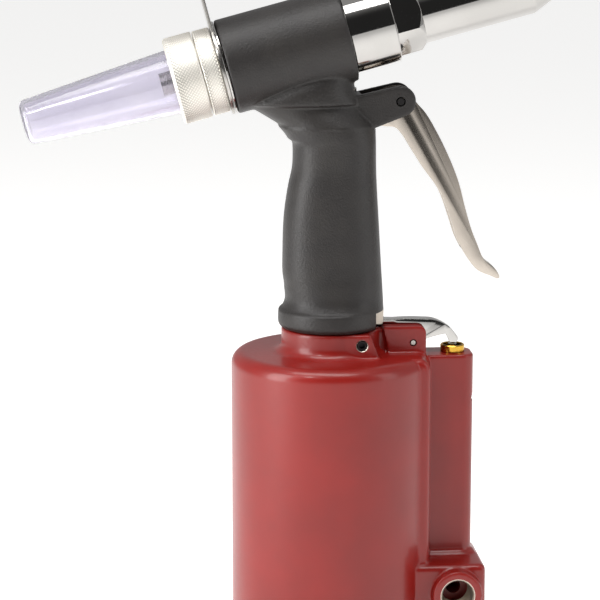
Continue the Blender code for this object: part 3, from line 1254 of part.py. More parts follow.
def make_jaws():
    """Three like jaws, each a sector of a cone, placed at thirds of a turn about the head's axis."""
    rear = cone_radius(JAW_REAR_S) - GAP / cos(JAW_CONE) - 0.0002
    front = cone_radius(JAW_FRONT_S) - GAP / cos(JAW_CONE) - 0.0002
    profile = [(JAW_BORE_RADIUS, JAW_FRONT_S), (front, JAW_FRONT_S), (rear, JAW_REAR_S)]
    profile += [(JAW_BORE_RADIUS, JAW_REAR_S)]
    whole = head_turned("jaw_cone", profile, SMALL, s=PULL_PISTON_FRONT_S)
    half = radians(48)
    reach = 0.03
    wedge = [(0.0004, 0), (reach * cos(half), reach * sin(half)), (reach * cos(half), -reach * sin(half))]
    shape = bmesh.new()
    low, high = JAW_REAR_S - 0.005, JAW_FRONT_S + 0.005
    face = shape.faces.new([shape.verts.new((x, y, low)) for x, y in wedge])
    raised = bmesh.ops.extrude_face_region(shape, geom=[face])["geom"]
    moved = [item for item in raised if isinstance(item, bmesh.types.BMVert)]
    bmesh.ops.translate(shape, vec=(0, 0, high - low), verts=moved)
    bmesh.ops.recalc_face_normals(shape, faces=shape.faces)
    mesh = bpy.data.meshes.new("jaw_sector")
    shape.to_mesh(mesh)
    shape.free()
    sector = add_object("jaw_sector", mesh, parent=head_axis)
    combine(whole, [sector], "INTERSECT")
    first = frozen(whole, "jaw_shape")
    first.parent = head_axis
    first.matrix_parent_inverse = Matrix.Identity(4)
    first.matrix_basis = Matrix.Translation((0, 0, PULL_PISTON_FRONT_S))
    as_part(first, "jaw_1", machined_steel())
    for i in (1, 2):
        other = add_object(f"jaw_{i + 1}", first.data, parts, head_axis, (0, 0, PULL_PISTON_FRONT_S))
        other.rotation_euler = (0, 0, 2 * pi * i / 3)

    top = JAW_REAR_S - GAP
    hole = MANDREL_BORE_RADIUS * 0.8
    flange_top = PUSHER_REAR_S + 0.002
    profile = [(hole, top), (PUSHER_RADIUS - 0.001, top), (PUSHER_RADIUS, top - 0.001)]
    profile += [(PUSHER_RADIUS, flange_top), (CHAMBER_RADIUS - 2 * GAP - 0.0004, flange_top)]
    profile += [(CHAMBER_RADIUS - 2 * GAP - 0.0004, PUSHER_REAR_S), (hole, PUSHER_REAR_S)]
    as_part(head_turned("pusher", profile, SMALL, s=PULL_PISTON_FRONT_S), "jaw_pusher", machined_steel())


# ---------------------------------------------------------------- head springs
def make_head_springs():
    piston_rear = PULL_PISTON_FRONT_S - PULL_PISTON_THICKNESS
    coil(
        "return_spring",
        RETURN_WIRE_RADIUS,
        RETURN_COIL_RADIUS,
        RETURN_TURNS,
        REAR_CAP_FLOOR_S + GAP,
        piston_rear - GAP,
        machined_steel(),
        head_axis,
    )
    coil(
        "jaw_spring",
        JAW_WIRE_RADIUS,
        JAW_COIL_RADIUS,
        JAW_TURNS,
        PULL_ROD_FRONT_S + GAP,
        PUSHER_REAR_S - GAP,
        machined_steel(),
        head_axis,
    )


def main():
    clear_scene()
    make_casting()
    make_neck_screw()
    make_base()
    make_air_piston()
    make_gland()
    make_valve()
    make_valve_lever()
    make_handle()
    make_trigger()
    make_trigger_rod()
    make_head_barrel()
    make_pull_piston()
    make_rear_cap()
    make_hanger()
    make_bottle()
    make_nose()
    make_jaw_case()
    make_jaws()
    make_head_springs()


main()
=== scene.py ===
"""Pneumatic rivet gun: the detailed visual model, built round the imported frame.

Metres, +Z up. The origin is the centre of the flat base. +X points to the nose and -Y to the side of
the air inlet. Along the pulling head's axis, "s" is the distance forward of the upright axis.
"""

import json
import logging
from dataclasses import dataclass
from enum import Enum
from math import atan2, cos, degrees, hypot, pi, radians, sin, sqrt, tan
from typing import Iterable, Sequence

import bmesh
import bpy
from mathutils import Matrix, Vector

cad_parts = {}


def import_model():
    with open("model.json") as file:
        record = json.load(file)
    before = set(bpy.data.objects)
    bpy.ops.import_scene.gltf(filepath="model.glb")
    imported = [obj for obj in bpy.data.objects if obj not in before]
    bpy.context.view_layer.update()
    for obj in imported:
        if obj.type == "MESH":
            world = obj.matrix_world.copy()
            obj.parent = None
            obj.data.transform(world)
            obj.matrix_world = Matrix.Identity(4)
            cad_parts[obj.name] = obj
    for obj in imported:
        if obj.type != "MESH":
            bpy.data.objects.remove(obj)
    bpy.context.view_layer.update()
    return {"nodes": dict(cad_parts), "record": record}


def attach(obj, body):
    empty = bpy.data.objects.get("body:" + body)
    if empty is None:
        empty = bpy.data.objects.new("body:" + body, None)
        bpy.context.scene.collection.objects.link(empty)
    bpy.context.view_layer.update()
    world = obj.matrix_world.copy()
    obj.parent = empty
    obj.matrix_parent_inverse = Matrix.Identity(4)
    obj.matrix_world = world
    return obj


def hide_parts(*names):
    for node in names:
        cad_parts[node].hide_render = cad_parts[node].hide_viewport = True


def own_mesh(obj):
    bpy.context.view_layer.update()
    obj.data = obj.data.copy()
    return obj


log = logging.getLogger("rivet_gun")

Point2 = tuple[float, float]
Profile = Sequence[Point2]
Sockets = tuple[bpy.types.NodeSocket, bpy.types.NodeSocket, bpy.types.NodeSocket]

MM = 0.001
# Points that are closer than this are one point.
MERGE = 0.000002
# How far a cutter reaches past what it cuts.
OVER = 0.002
# The gap under the bleed screw's head.
GAP = 0.0003
# Steps round large, middle and small circles.
FINE = 128
MEDIUM = 64
SMALL = 32
# The pulling head's axis crosses the upright one at this height, and rises to the nose by this tilt.
HEAD_HEIGHT = 0.265
HEAD_TILT = radians(15)
HEAD_TURN = pi / 2 - HEAD_TILT
HEAD = Matrix.Translation((0, 0, HEAD_HEIGHT)) @ Matrix.Rotation(HEAD_TURN, 4, "Y")
WORLD = Matrix.Identity(4)


def sideways(x: float, y: float, z: float) -> Matrix:
    """A place whose own Z axis points to -Y."""
    return Matrix.Translation((x, y, z)) @ Matrix.Rotation(pi / 2, 4, "X")


class Slot(Enum):
    """The record's material slots."""

    RED = "red_paint"
    BLACK = "black_coating"
    CHROME = "chrome"
    NICKEL = "satin_nickel"
    KNURLED = "knurled_steel"
    STEEL = "machined_steel"
    SPRING = "spring_steel"
    ALUMINIUM = "aluminium"
    BRASS = "brass"
    OXIDE = "black_oxide"
    RUBBER = "rubber"
    CLEAR = "clear_plastic"


# ---------------------------------------------------------------- finishes
def linear(code: str) -> tuple[float, float, float, float]:
    """Turns an sRGB hex colour into a linear one.

    Args:
        code: Six hex digits after a "#".

    Returns:
        Red, green, blue and an alpha of 1.
    """
    parts = [int(code[i : i + 2], 16) / 255 for i in (1, 3, 5)]
    red, green, blue = (c / 12.92 if c <= 0.04045 else ((c + 0.055) / 1.055) ** 2.4 for c in parts)
    return red, green, blue, 1.0


def node(
    tree: bpy.types.NodeTree, kind: str, inputs: dict[str | int, object] | None = None, **settings: object
) -> bpy.types.Node:
    """Adds a node with its settings and its inputs.

    Args:
        tree: The node tree to add to.
        kind: The node's type name.
        inputs: Values or sockets by input name or number; a socket is linked.
        settings: The node's own attributes.

    Returns:
        The node.
    """
    made = tree.nodes.new(kind)
    for name, value in settings.items():
        setattr(made, name, value)
    for name, value in (inputs or {}).items():
        if isinstance(value, bpy.types.NodeSocket):
            tree.links.new(value, made.inputs[name])
        else:
            made.inputs[name].default_value = value
    return made


@dataclass(frozen=True)
class Finish:
    """What every finish has: a name, its slot, its colour and its gloss.

    Attributes:
        name: The material's name.
        slot: The record's slot that it stands for.
        colour: Its main colour, sRGB hex.
        second: The colour that it drifts to, sRGB hex.
        roughness: Its least and greatest roughness.
        metallic: 1 for bare metal, 0 for paint and plastic.
        grain: The size of its surface pattern in millimetres, along X, Y and Z.
        depth: How deep the pattern is, in millimetres.
        turn: How the pattern is turned, about Y.
        patch: The size of its colour drift, in millimetres.
    """

    name: str
    slot: Slot
    colour: str
    second: str
    roughness: Point2
    metallic: float = 0.0
    grain: tuple[float, float, float] = (1.0, 1.0, 1.0)
    depth: float = 0.01
    turn: float = 0.0
    patch: float = 20.0

    def tune(self, shader: bpy.types.Node) -> None:
        """Sets what only this kind of finish has on its shader."""

    def surface(self, tree: bpy.types.NodeTree) -> Sockets:
        """Makes the pattern nodes that every finish shares.

        Args:
            tree: The material's node tree.

        Returns:
            The sockets for colour, roughness and normal.
        """
        place = node(tree, "ShaderNodeTexCoord").outputs["Object"]
        turned = node(
            tree, "ShaderNodeMapping", {"Vector": place, "Rotation": (0.0, self.turn, 0.0)}
        ).outputs[0]
        stretch = tuple(1 / (size * MM) for size in self.grain)
        grained = node(tree, "ShaderNodeMapping", {"Vector": turned, "Scale": stretch}).outputs[0]
        grain = node(
            tree, "ShaderNodeTexNoise", {"Vector": grained, "Scale": 1.0, "Detail": 2.0}
        ).outputs["Fac"]
        drift = node(
            tree, "ShaderNodeTexNoise", {"Vector": place, "Scale": 1 / (self.patch * MM), "Detail": 3.0}
        ).outputs["Fac"]
        fade = node(
            tree, "ShaderNodeMapRange", {"Value": drift, "From Min": 0.35, "From Max": 0.65}
        ).outputs[0]
        low, high = self.roughness
        colour = node(
            tree,
            "ShaderNodeMix",
            {"Factor": fade, 6: linear(self.colour), 7: linear(self.second)},
            data_type="RGBA",
        ).outputs[2]
        roughness = node(
            tree, "ShaderNodeMapRange", {"Value": grain, "To Min": low, "To Max": high}
        ).outputs[0]
        normal = node(
            tree, "ShaderNodeBump", {"Height": grain, "Distance": self.depth * MM, "Strength": 1.0}
        ).outputs[0]
        return colour, roughness, normal

    def material(self) -> bpy.types.Material:
        """Makes the material, or gives the one that was made before.

        Returns:
            The material.
        """
        known = bpy.data.materials.get(self.name)
        if known is not None:
            return known
        made = bpy.data.materials.new(self.name)
        made.use_nodes = True
        tree = made.node_tree
        shader = tree.nodes["Principled BSDF"]
        for name, socket in zip(("Base Color", "Roughness", "Normal"), self.surface(tree)):
            tree.links.new(socket, shader.inputs[name])
        shader.inputs["Metallic"].default_value = self.metallic
        self.tune(shader)
        return made


@dataclass(frozen=True)
class Enamel(Finish):
    """Stoved enamel or powder coat: a pigmented layer under its own clear gloss.

    Attributes:
        coat: The weight of the gloss.
        coat_roughness: The gloss's own roughness.
        ior: Under the usual 1.5, since the gloss already gives a highlight of its own.
    """

    coat: float = 0.4
    coat_roughness: float = 0.25
    ior: float = 1.42

    def tune(self, shader: bpy.types.Node) -> None:
        """Adds the clear gloss over the pigment.

        Args:
            shader: The material's shader.
        """
        shader.inputs["IOR"].default_value = self.ior
        shader.inputs["Coat Weight"].default_value = self.coat
        shader.inputs["Coat Roughness"].default_value = self.coat_roughness


@dataclass(frozen=True)
class Knurl(Finish):
    """Plated steel with rolled knurling, with shade painted darker into its grooves.

    Attributes:
        painted_groove_shade: The painted shade's colour at the bottom of the grooves, sRGB hex.
    """

    painted_groove_shade: str = "#78736a"

    def surface(self, tree: bpy.types.NodeTree) -> Sockets:
        """Paints shade into the grooves, by the mesh's painted_groove_shade attribute.

        Args:
            tree: The material's node tree.

        Returns:
            The sockets for colour, roughness and normal.
        """
        colour, roughness, normal = super().surface(tree)
        painted_groove_shade = node(tree, "ShaderNodeAttribute", attribute_name="painted_groove_shade").outputs["Fac"]
        # Painted shade: the colour darkens towards the bottom of the knurl's grooves.
        shaded = node(
            tree,
            "ShaderNodeMix",
            {"Factor": painted_groove_shade, 6: colour, 7: linear(self.painted_groove_shade)},
            data_type="RGBA",
        ).outputs[2]
        return shaded, roughness, normal


@dataclass(frozen=True)
class ClearMoulding(Finish):
    """Clear moulded plastic.

    Attributes:
        ior: Its index of refraction.
        transmission: The share of light that goes through it.
    """

    ior: float = 1.47
    transmission: float = 0.92

    def tune(self, shader: bpy.types.Node) -> None:
        """Lets light through the moulding."""
        shader.inputs["IOR"].default_value = self.ior
        shader.inputs["Transmission Weight"].default_value = self.transmission


# The sizes of the patterns are in millimetres.
# Stoved enamel on a die casting: smooth, with a faint orange peel about 2 mm across and a broad soft gloss.
RED = Enamel(
    "stoved_red_enamel", Slot.RED, "#84150f", "#7a140e", (0.32, 0.4),
    grain=(2, 2, 2), depth=0.01, patch=30, coat=0.25, coat_roughness=0.12,
)
# Textured epoxy powder on aluminium: a fine sand grain that breaks up the gloss, drawn coarser than a real
# one, at 0.8 mm, to be seen from a distance.
BLACK = Enamel(
    "textured_black_powder", Slot.BLACK, "#1f1c1b", "#252220", (0.38, 0.56),
    grain=(0.8, 0.8, 0.8), depth=0.2, patch=12, coat=0.12, coat_roughness=0.4,
)
# Bright chromium plate over a turned face: near mirror, with rings too fine to feel.
CHROME = Finish(
    "bright_chrome_plate", Slot.CHROME, "#bab8b5", "#b3b1ae", (0.05, 0.1), 1.0, (6, 6, 0.3), 0.0008, HEAD_TURN
)
# Satin nickel plate on a stamping: a soft grain brushed along its length.
NICKEL = Finish(
    "satin_nickel_plate", Slot.NICKEL, "#c0b7ad", "#b5aca2", (0.14, 0.26),
    1.0, (0.35, 0.35, 9), 0.004, radians(24),
)
# Zinc-plated knurled steel: pale, with soft rolled edges and shade painted into its grooves.
KNURLED = Knurl(
    "zinc_plated_knurl", Slot.KNURLED, "#f4f1ea", "#ebe7df", (0.5, 0.6), 1.0, (1, 1, 0.5), 0.003, HEAD_TURN
)
# Turned and ground steel: grey, with fine tool rings.
STEEL = Finish(
    "turned_steel", Slot.STEEL, "#b5b2ad", "#a9a6a1", (0.2, 0.32), 1.0, (4, 4, 0.35), 0.004, HEAD_TURN
)
# Hardened spring wire: darker and smoother than turned steel.
SPRING = Finish(
    "spring_wire", Slot.SPRING, "#94918c", "#86837e", (0.25, 0.35), 1.0, (0.6, 0.6, 0.6), 0.003
)
# Machined aluminium left bare: pale and warm, with short cutter marks.
ALUMINIUM = Finish(
    "machined_aluminium", Slot.ALUMINIUM, "#cfc5b9", "#c2b8ac", (0.3, 0.45), 1.0, (0.4, 0.4, 3), 0.006
)
# Free-cutting brass: bright yellow where it is turned.
BRASS = Finish("turned_brass", Slot.BRASS, "#d9ae4a", "#c4983a", (0.16, 0.28), 1.0, (3, 3, 0.3), 0.003)
# Black oxide on steel: a thin dark layer that keeps some gloss.
OXIDE = Finish(
    "black_oxide_steel", Slot.OXIDE, "#1d1c1c", "#262424", (0.32, 0.45), 0.7, (0.8, 0.8, 0.8), 0.004
)
# Moulded nitrile rubber: matt black with a dusty grain.
RUBBER = Finish(
    "nitrile_rubber", Slot.RUBBER, "#1c1b1b", "#272525", (0.65, 0.85), 0.0, (0.6, 0.6, 0.6), 0.03
)
# Clear polycarbonate: glossy, with a faint violet tint all through.
CLEAR = ClearMoulding(
    "clear_polycarbonate", Slot.CLEAR, "#f1eef8", "#ebe8f4", (0.06, 0.1), 0.0, (8, 8, 8), 0.002
)
FINISHES = {
    finish.slot: finish
    for finish in (RED, BLACK, CHROME, NICKEL, KNURLED, STEEL, SPRING, ALUMINIUM, BRASS, OXIDE, RUBBER, CLEAR)
}


# ---------------------------------------------------------------- outlines
def arc(centre: Point2, radius: float, start: float, end: float, count: int = 8) -> list[Point2]:
    """Points along an arc in a plane.

    Args:
        centre: Its centre.
        radius: Its radius.
        start: The angle of its first point, in degrees.
        end: The angle of its last point, in degrees.
        count: Steps between them.

    Returns:
        The points, one more than the steps.
    """
    angles = [radians(start + (end - start) * i / count) for i in range(count + 1)]
    return [(centre[0] + radius * cos(a), centre[1] + radius * sin(a)) for a in angles]


def rounded(corners: Sequence[tuple[float, float, float]], count: int = 6) -> list[Point2]:
    """Rounds the corners of a closed outline.

    Args:
        corners: Each corner's two coordinates and its radius.
        count: Steps in each rounding.

    Returns:
        The outline's points.
    """
    points: list[Point2] = []
    for i, (x, y, radius) in enumerate(corners):
        corner = Vector((x, y))
        before = (Vector(corners[i - 1][:2]) - corner).normalized()
        after = (Vector(corners[(i + 1) % len(corners)][:2]) - corner).normalized()
        if radius <= 0:
            points.append((x, y))
            continue
        half = before.angle(after) / 2
        middle = corner + (before + after).normalized() * (radius / sin(half))
        first = corner + before * (radius / tan(half)) - middle
        last = corner + after * (radius / tan(half)) - middle
        for j in range(count + 1):
            turned = first.slerp(last, j / count)
            points.append(tuple(middle + turned.normalized() * radius))
    return points


def flowing(
    keys: Sequence[Sequence[float]], steps: int, closed: bool = False
) -> list[tuple[float, ...]]:
    """A smooth run through keys, with the same number of steps between each two.

    Args:
        keys: The points that it passes through, of any number of values each.
        steps: Steps between two keys.
        closed: Whether it goes back to the first key.

    Returns:
        The points, each with as many values as a key.
    """
    count = len(keys)
    points = []
    for i in range(count if closed else count - 1):
        places = [(i + k) % count if closed else min(max(i + k, 0), count - 1) for k in (-1, 0, 1, 2)]
        around = [keys[place] for place in places]
        # The square root of each distance keeps the run from looping between keys that lie close.
        spans = [
            sqrt(sum((b - a) ** 2 for a, b in zip(p, q))) ** 0.5 or 1.0 for p, q in zip(around, around[1:])
        ]
        for j in range(steps):
            t = j / steps
            value = []
            for a, b, c, d in zip(*around):
                into = ((b - a) / spans[0] - (c - a) / (spans[0] + spans[1]) + (c - b) / spans[1]) * spans[1]
                out = ((c - b) / spans[1] - (d - b) / (spans[1] + spans[2]) + (d - c) / spans[2]) * spans[1]
                value.append(
                    (2 * t**3 - 3 * t**2 + 1) * b
                    + (t**3 - 2 * t**2 + t) * into
                    + (3 * t**2 - 2 * t**3) * c
                    + (t**3 - t**2) * out
                )
            points.append(tuple(value))
    if not closed:
        points.append(tuple(keys[-1]))
    return points


# ---------------------------------------------------------------- solids
class Solid:
    """A closed mesh on the bench, which is shaped and then finished as a piece."""

    def __init__(self, shape: bmesh.types.BMesh, place: Matrix = WORLD) -> None:
        """Takes over a bmesh, closes it and turns its faces outwards.

        Args:
            shape: The bmesh, which is freed.
            place: Where it goes.
        """
        bmesh.ops.remove_doubles(shape, verts=shape.verts, dist=MERGE)
        bmesh.ops.recalc_face_normals(shape, faces=shape.faces)
        bmesh.ops.transform(shape, matrix=place, verts=shape.verts)
        mesh = bpy.data.meshes.new("bench")
        shape.to_mesh(mesh)
        shape.free()
        self.obj = bpy.data.objects.new("bench", mesh)
        bpy.context.scene.collection.objects.link(self.obj)

    @classmethod
    def turned(cls, profile: Profile, steps: int = FINE, place: Matrix = WORLD) -> "Solid":
        """Spins a profile about Z.

        Args:
            profile: Points of (radius, z); where the first is off the axis, the solid is a ring.
            steps: Steps round it.
            place: Where it goes.

        Returns:
            The solid.
        """
        shape = bmesh.new()
        verts = [shape.verts.new((r, 0, z)) for r, z in profile]
        edges = [shape.edges.new(pair) for pair in zip(verts, verts[1:])]
        if profile[0][0] > MERGE:
            edges.append(shape.edges.new((verts[-1], verts[0])))
        bmesh.ops.spin(
            shape,
            geom=verts + edges,
            axis=(0, 0, 1),
            cent=(0, 0, 0),
            dvec=(0, 0, 0),
            angle=2 * pi,
            steps=steps,
            use_merge=True,
        )
        return cls(shape, place)

    @classmethod
    def prism(
        cls, outline: Profile, low: float, high: float, upright: bool = False, place: Matrix = WORLD
    ) -> "Solid":
        """Extrudes an outline.

        Args:
            outline: Points of (x, z), or of (x, y) where it is upright.
            low: Where it starts, along Y or Z.
            high: Where it ends.
            upright: Whether it is extruded along Z.
            place: Where it goes.

        Returns:
            The solid.
        """
        shape = bmesh.new()
        corners = [(x, y, low) if upright else (x, low, y) for x, y in outline]
        face = shape.faces.new([shape.verts.new(c) for c in corners])
        made = bmesh.ops.extrude_face_region(shape, geom=[face])["geom"]
        moved = [item for item in made if isinstance(item, bmesh.types.BMVert)]
        along = (0, 0, high - low) if upright else (0, high - low, 0)
        bmesh.ops.translate(shape, vec=along, verts=moved)
        return cls(shape, place)

    @classmethod
    def rod(
        cls,
        start: Sequence[float],
        end: Sequence[float],
        radius: float,
        steps: int = SMALL,
        place: Matrix = WORLD,
    ) -> "Solid":
        """A cylinder between two points, or a prism where it has few steps.

        Args:
            start: The middle of its first end.
            end: The middle of its last end.
            radius: Its radius, out to its corners.
            steps: Steps round it.
            place: Where it goes.

        Returns:
            The solid.
        """
        first, last = Vector(start), Vector(end)
        run = last - first
        shape = bmesh.new()
        bmesh.ops.create_cone(
            shape, cap_ends=True, segments=steps, radius1=radius, radius2=radius, depth=run.length
        )
        turn = run.to_track_quat("Z", "Y").to_matrix().to_4x4()
        return cls(shape, place @ Matrix.Translation((first + last) / 2) @ turn)

    @classmethod
    def box(cls, low: Sequence[float], high: Sequence[float], place: Matrix = WORLD) -> "Solid":
        """A box between two corners.

        Args:
            low: Its lowest corner.
            high: Its highest corner.
            place: Where it goes.

        Returns:
            The solid.
        """
        lowest, highest = Vector(low), Vector(high)
        shape = bmesh.new()
        bmesh.ops.create_cube(shape, size=1.0)
        bmesh.ops.scale(shape, vec=highest - lowest, verts=shape.verts)
        bmesh.ops.translate(shape, vec=(lowest + highest) / 2, verts=shape.verts)
        return cls(shape, place)

    def settle(self) -> "Solid":
        """Applies the modifiers.

        Returns:
            This solid.
        """
        bpy.context.view_layer.update()
        graph = bpy.context.evaluated_depsgraph_get()
        mesh = bpy.data.meshes.new_from_object(self.obj.evaluated_get(graph))
        old = self.obj.data
        self.obj.modifiers.clear()
        self.obj.data = mesh
        bpy.data.meshes.remove(old)
        return self

    def combined(self, others: Iterable["Solid"], operation: str) -> "Solid":
        """Joins, cuts or meets others with this solid.

        Args:
            others: The other solids, which are used up.
            operation: UNION, DIFFERENCE or INTERSECT.

        Returns:
            This solid.
        """
        used = list(others)
        for other in used:
            step = self.obj.modifiers.new(operation, "BOOLEAN")
            step.operation = operation
            step.solver = "MANIFOLD"
            step.object = other.obj
        self.settle()
        for other in used:
            mesh = other.obj.data
            bpy.data.objects.remove(other.obj)
            bpy.data.meshes.remove(mesh)
        return self

    def join(self, *others: "Solid") -> "Solid":
        """Adds others to this solid."""
        return self.combined(others, "UNION")

    def cut(self, *others: "Solid") -> "Solid":
        """Takes others out of this solid."""
        return self.combined(others, "DIFFERENCE")

    def meet(self, *others: "Solid") -> "Solid":
        """Keeps what this solid shares with others."""
        return self.combined(others, "INTERSECT")

    def cast(self, voxel: float, rounds: int, share: float = 1.0) -> "Solid":
        """Melts the joints into one skin with soft edges, as a casting has.

        Args:
            voxel: The fineness of the skin.
            rounds: How often it is smoothed.
            share: The share of its faces that is kept.

        Returns:
            This solid.
        """
        skin = self.obj.modifiers.new("skin", "REMESH")
        skin.mode = "VOXEL"
        skin.voxel_size = voxel
        soft = self.obj.modifiers.new("soft", "SMOOTH")
        soft.factor = 0.5
        soft.iterations = rounds
        if share < 1:
            thin = self.obj.modifiers.new("thin", "DECIMATE")
            thin.ratio = share
        return self.settle()

    def bevel(self, width: float, segments: int = 2, angle: float = 35) -> "Solid":
        """Rounds the solid's edges.

        Args:
            width: How far a rounding reaches from the edge.
            segments: Steps across it.
            angle: Edges that turn by more than this are rounded, in degrees.

        Returns:
            This solid.
        """
        step = self.obj.modifiers.new("edge", "BEVEL")
        step.limit_method = "ANGLE"
        step.angle_limit = radians(angle)
        step.width = width
        step.segments = segments
        step.profile = 0.5
        return self.settle()

    def finish(
        self, name: str, body: str, finish: Finish, *replaced: str, angle: float = 32
    ) -> bpy.types.Object:
        """Makes the solid a piece of the tool.

        Args:
            name: The piece's name.
            body: The body that it rides on.
            finish: Its finish.
            replaced: The CAD nodes that it stands for.
            angle: Edges that turn by more than this stay sharp, in degrees.

        Returns:
            The piece.
        """
        self.obj.name = name
        self.obj.data.name = name
        self.obj.data.materials.clear()
        self.obj.data.materials.append(finish.material())
        self.obj.data.shade_smooth()
        self.obj.data.set_sharp_from_angle(angle=radians(angle))
        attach(self.obj, body)
        if replaced:
            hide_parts(*replaced)
        log.info("%s: %d faces on %s", name, len(self.obj.data.polygons), body)
        return self.obj


def tube(outer: float, inner: float, low: float, high: float, edge: float = 0.0) -> list[Point2]:
    """A ring's profile, with its outer edges chamfered."""
    face = [(outer - edge, high), (outer, high - edge), (outer, low + edge), (outer - edge, low)]
    return [*face, (inner, low), (inner, high)]


def bar(radius: float, low: float, high: float, edge: float = 0.0) -> list[Point2]:
    """A rod's profile, with its edges chamfered."""
    face = [(radius - edge, high), (radius, high - edge), (radius, low + edge), (radius - edge, low)]
    return [(0, high), *face, (0, low)]


# ---------------------------------------------------------------- studio
@dataclass
class Studio:
    """Camera, lights and floor: a white sweep with a soft box to the left and a dark room in front.

    Attributes:
        azimuth: How far the camera stands round from -Y.
        elevation: How far it looks down.
        distance: How far it is from what it aims at.
        aim: The point in the middle of its picture.
        lens: Its focal length in millimetres.
        sensor: The width of its sensor in millimetres.
        lit: The point that the lamps face.
    """

    azimuth: float = radians(-5)
    elevation: float = radians(11.5)
    distance: float = 1.05
    aim: tuple[float, float, float] = (-0.0136, 0.0, 0.150)
    lens: float = 143.18
    sensor: float = 36.0
    lit: tuple[float, float, float] = (0.0, 0.0, 0.15)

    def back(self) -> Vector:
        """The direction from the object to the camera."""
        flat = cos(self.elevation)
        return Vector((sin(self.azimuth) * flat, -cos(self.azimuth) * flat, sin(self.elevation)))

    def camera(self) -> None:
        """Makes the scene's camera."""
        data = bpy.data.cameras.new("camera")
        data.lens = self.lens
        data.sensor_width = self.sensor
        camera = bpy.data.objects.new("camera", data)
        camera.location = Vector(self.aim) + self.back() * self.distance
        camera.rotation_mode = "QUATERNION"
        camera.rotation_quaternion = (-self.back()).to_track_quat("-Z", "Y")
        bpy.context.scene.collection.objects.link(camera)
        bpy.context.scene.camera = camera

    def light(self, name: str, place: Sequence[float], size: Point2, power: float) -> None:
        """Adds a soft box that faces the middle of the tool.

        Args:
            name: Its name.
            place: Where it stands.
            size: Its width and height.
            power: Its power in watts.
        """
        data = bpy.data.lights.new(name, "AREA")
        data.shape = "RECTANGLE"
        data.size, data.size_y = size
        data.energy = power
        lamp = bpy.data.objects.new(name, data)
        lamp.location = place
        lamp.rotation_mode = "QUATERNION"
        lamp.rotation_quaternion = (Vector(self.lit) - Vector(place)).to_track_quat("-Z", "Y")
        bpy.context.scene.collection.objects.link(lamp)

    def world(self) -> None:
        """White behind the tool, and a dimmer room in front of it that the bright metal shows."""
        world = bpy.data.worlds.new("studio")
        bpy.context.scene.world = world
        world.use_nodes = True
        tree = world.node_tree
        tree.nodes.clear()
        way = node(tree, "ShaderNodeTexCoord").outputs["Generated"]
        front = node(
            tree, "ShaderNodeVectorMath", {0: way, 1: (-0.1, -0.97, 0.22)}, operation="DOT_PRODUCT"
        ).outputs["Value"]
        dim = node(
            tree,
            "ShaderNodeMapRange",
            {"Value": front, "From Min": 0.45, "From Max": 0.9, "To Min": 0.46, "To Max": 0.03},
            interpolation_type="SMOOTHSTEP",
        ).outputs[0]
        seen = node(tree, "ShaderNodeLightPath").outputs["Is Camera Ray"]
        level = node(tree, "ShaderNodeMix", {"Factor": seen, 2: dim, 3: 1.0}).outputs[0]
        glow = node(tree, "ShaderNodeBackground", {"Color": linear("#ffffff"), "Strength": level}).outputs[0]
        node(tree, "ShaderNodeOutputWorld", {"Surface": glow})

    def floor(self) -> None:
        """Lays a plain pale floor."""
        shape = bmesh.new()
        bmesh.ops.create_grid(shape, x_segments=1, y_segments=1, size=6.0)
        mesh = bpy.data.meshes.new("floor")
        shape.to_mesh(mesh)
        shape.free()
        floor = bpy.data.objects.new("floor", mesh)
        bpy.context.scene.collection.objects.link(floor)
        pale = bpy.data.materials.new("pale_sweep")
        pale.use_nodes = True
        shader = pale.node_tree.nodes["Principled BSDF"]
        shader.inputs["Base Color"].default_value = linear("#f6f5f3")
        shader.inputs["Roughness"].default_value = 0.9
        shader.inputs["Emission Color"].default_value = linear("#ffffff")
        shader.inputs["Emission Strength"].default_value = 0.52
        mesh.materials.append(pale)

    def build(self) -> None:
        """Sets the whole studio."""
        bpy.context.scene.view_settings.view_transform = "Standard"
        self.camera()
        self.world()
        self.floor()
        self.light("left_box", (-0.8, -0.32, 0.35), (0.40, 0.9), 8.5)
        self.light("top_box", (-0.1, -0.25, 1.1), (0.9, 0.35), 6.5)
        self.light("key_lamp", (-0.5, -0.7, 1.0), (0.14, 0.14), 2.0)
        self.light("right_box", (0.85, -0.4, 0.45), (0.35, 0.8), 1.8)


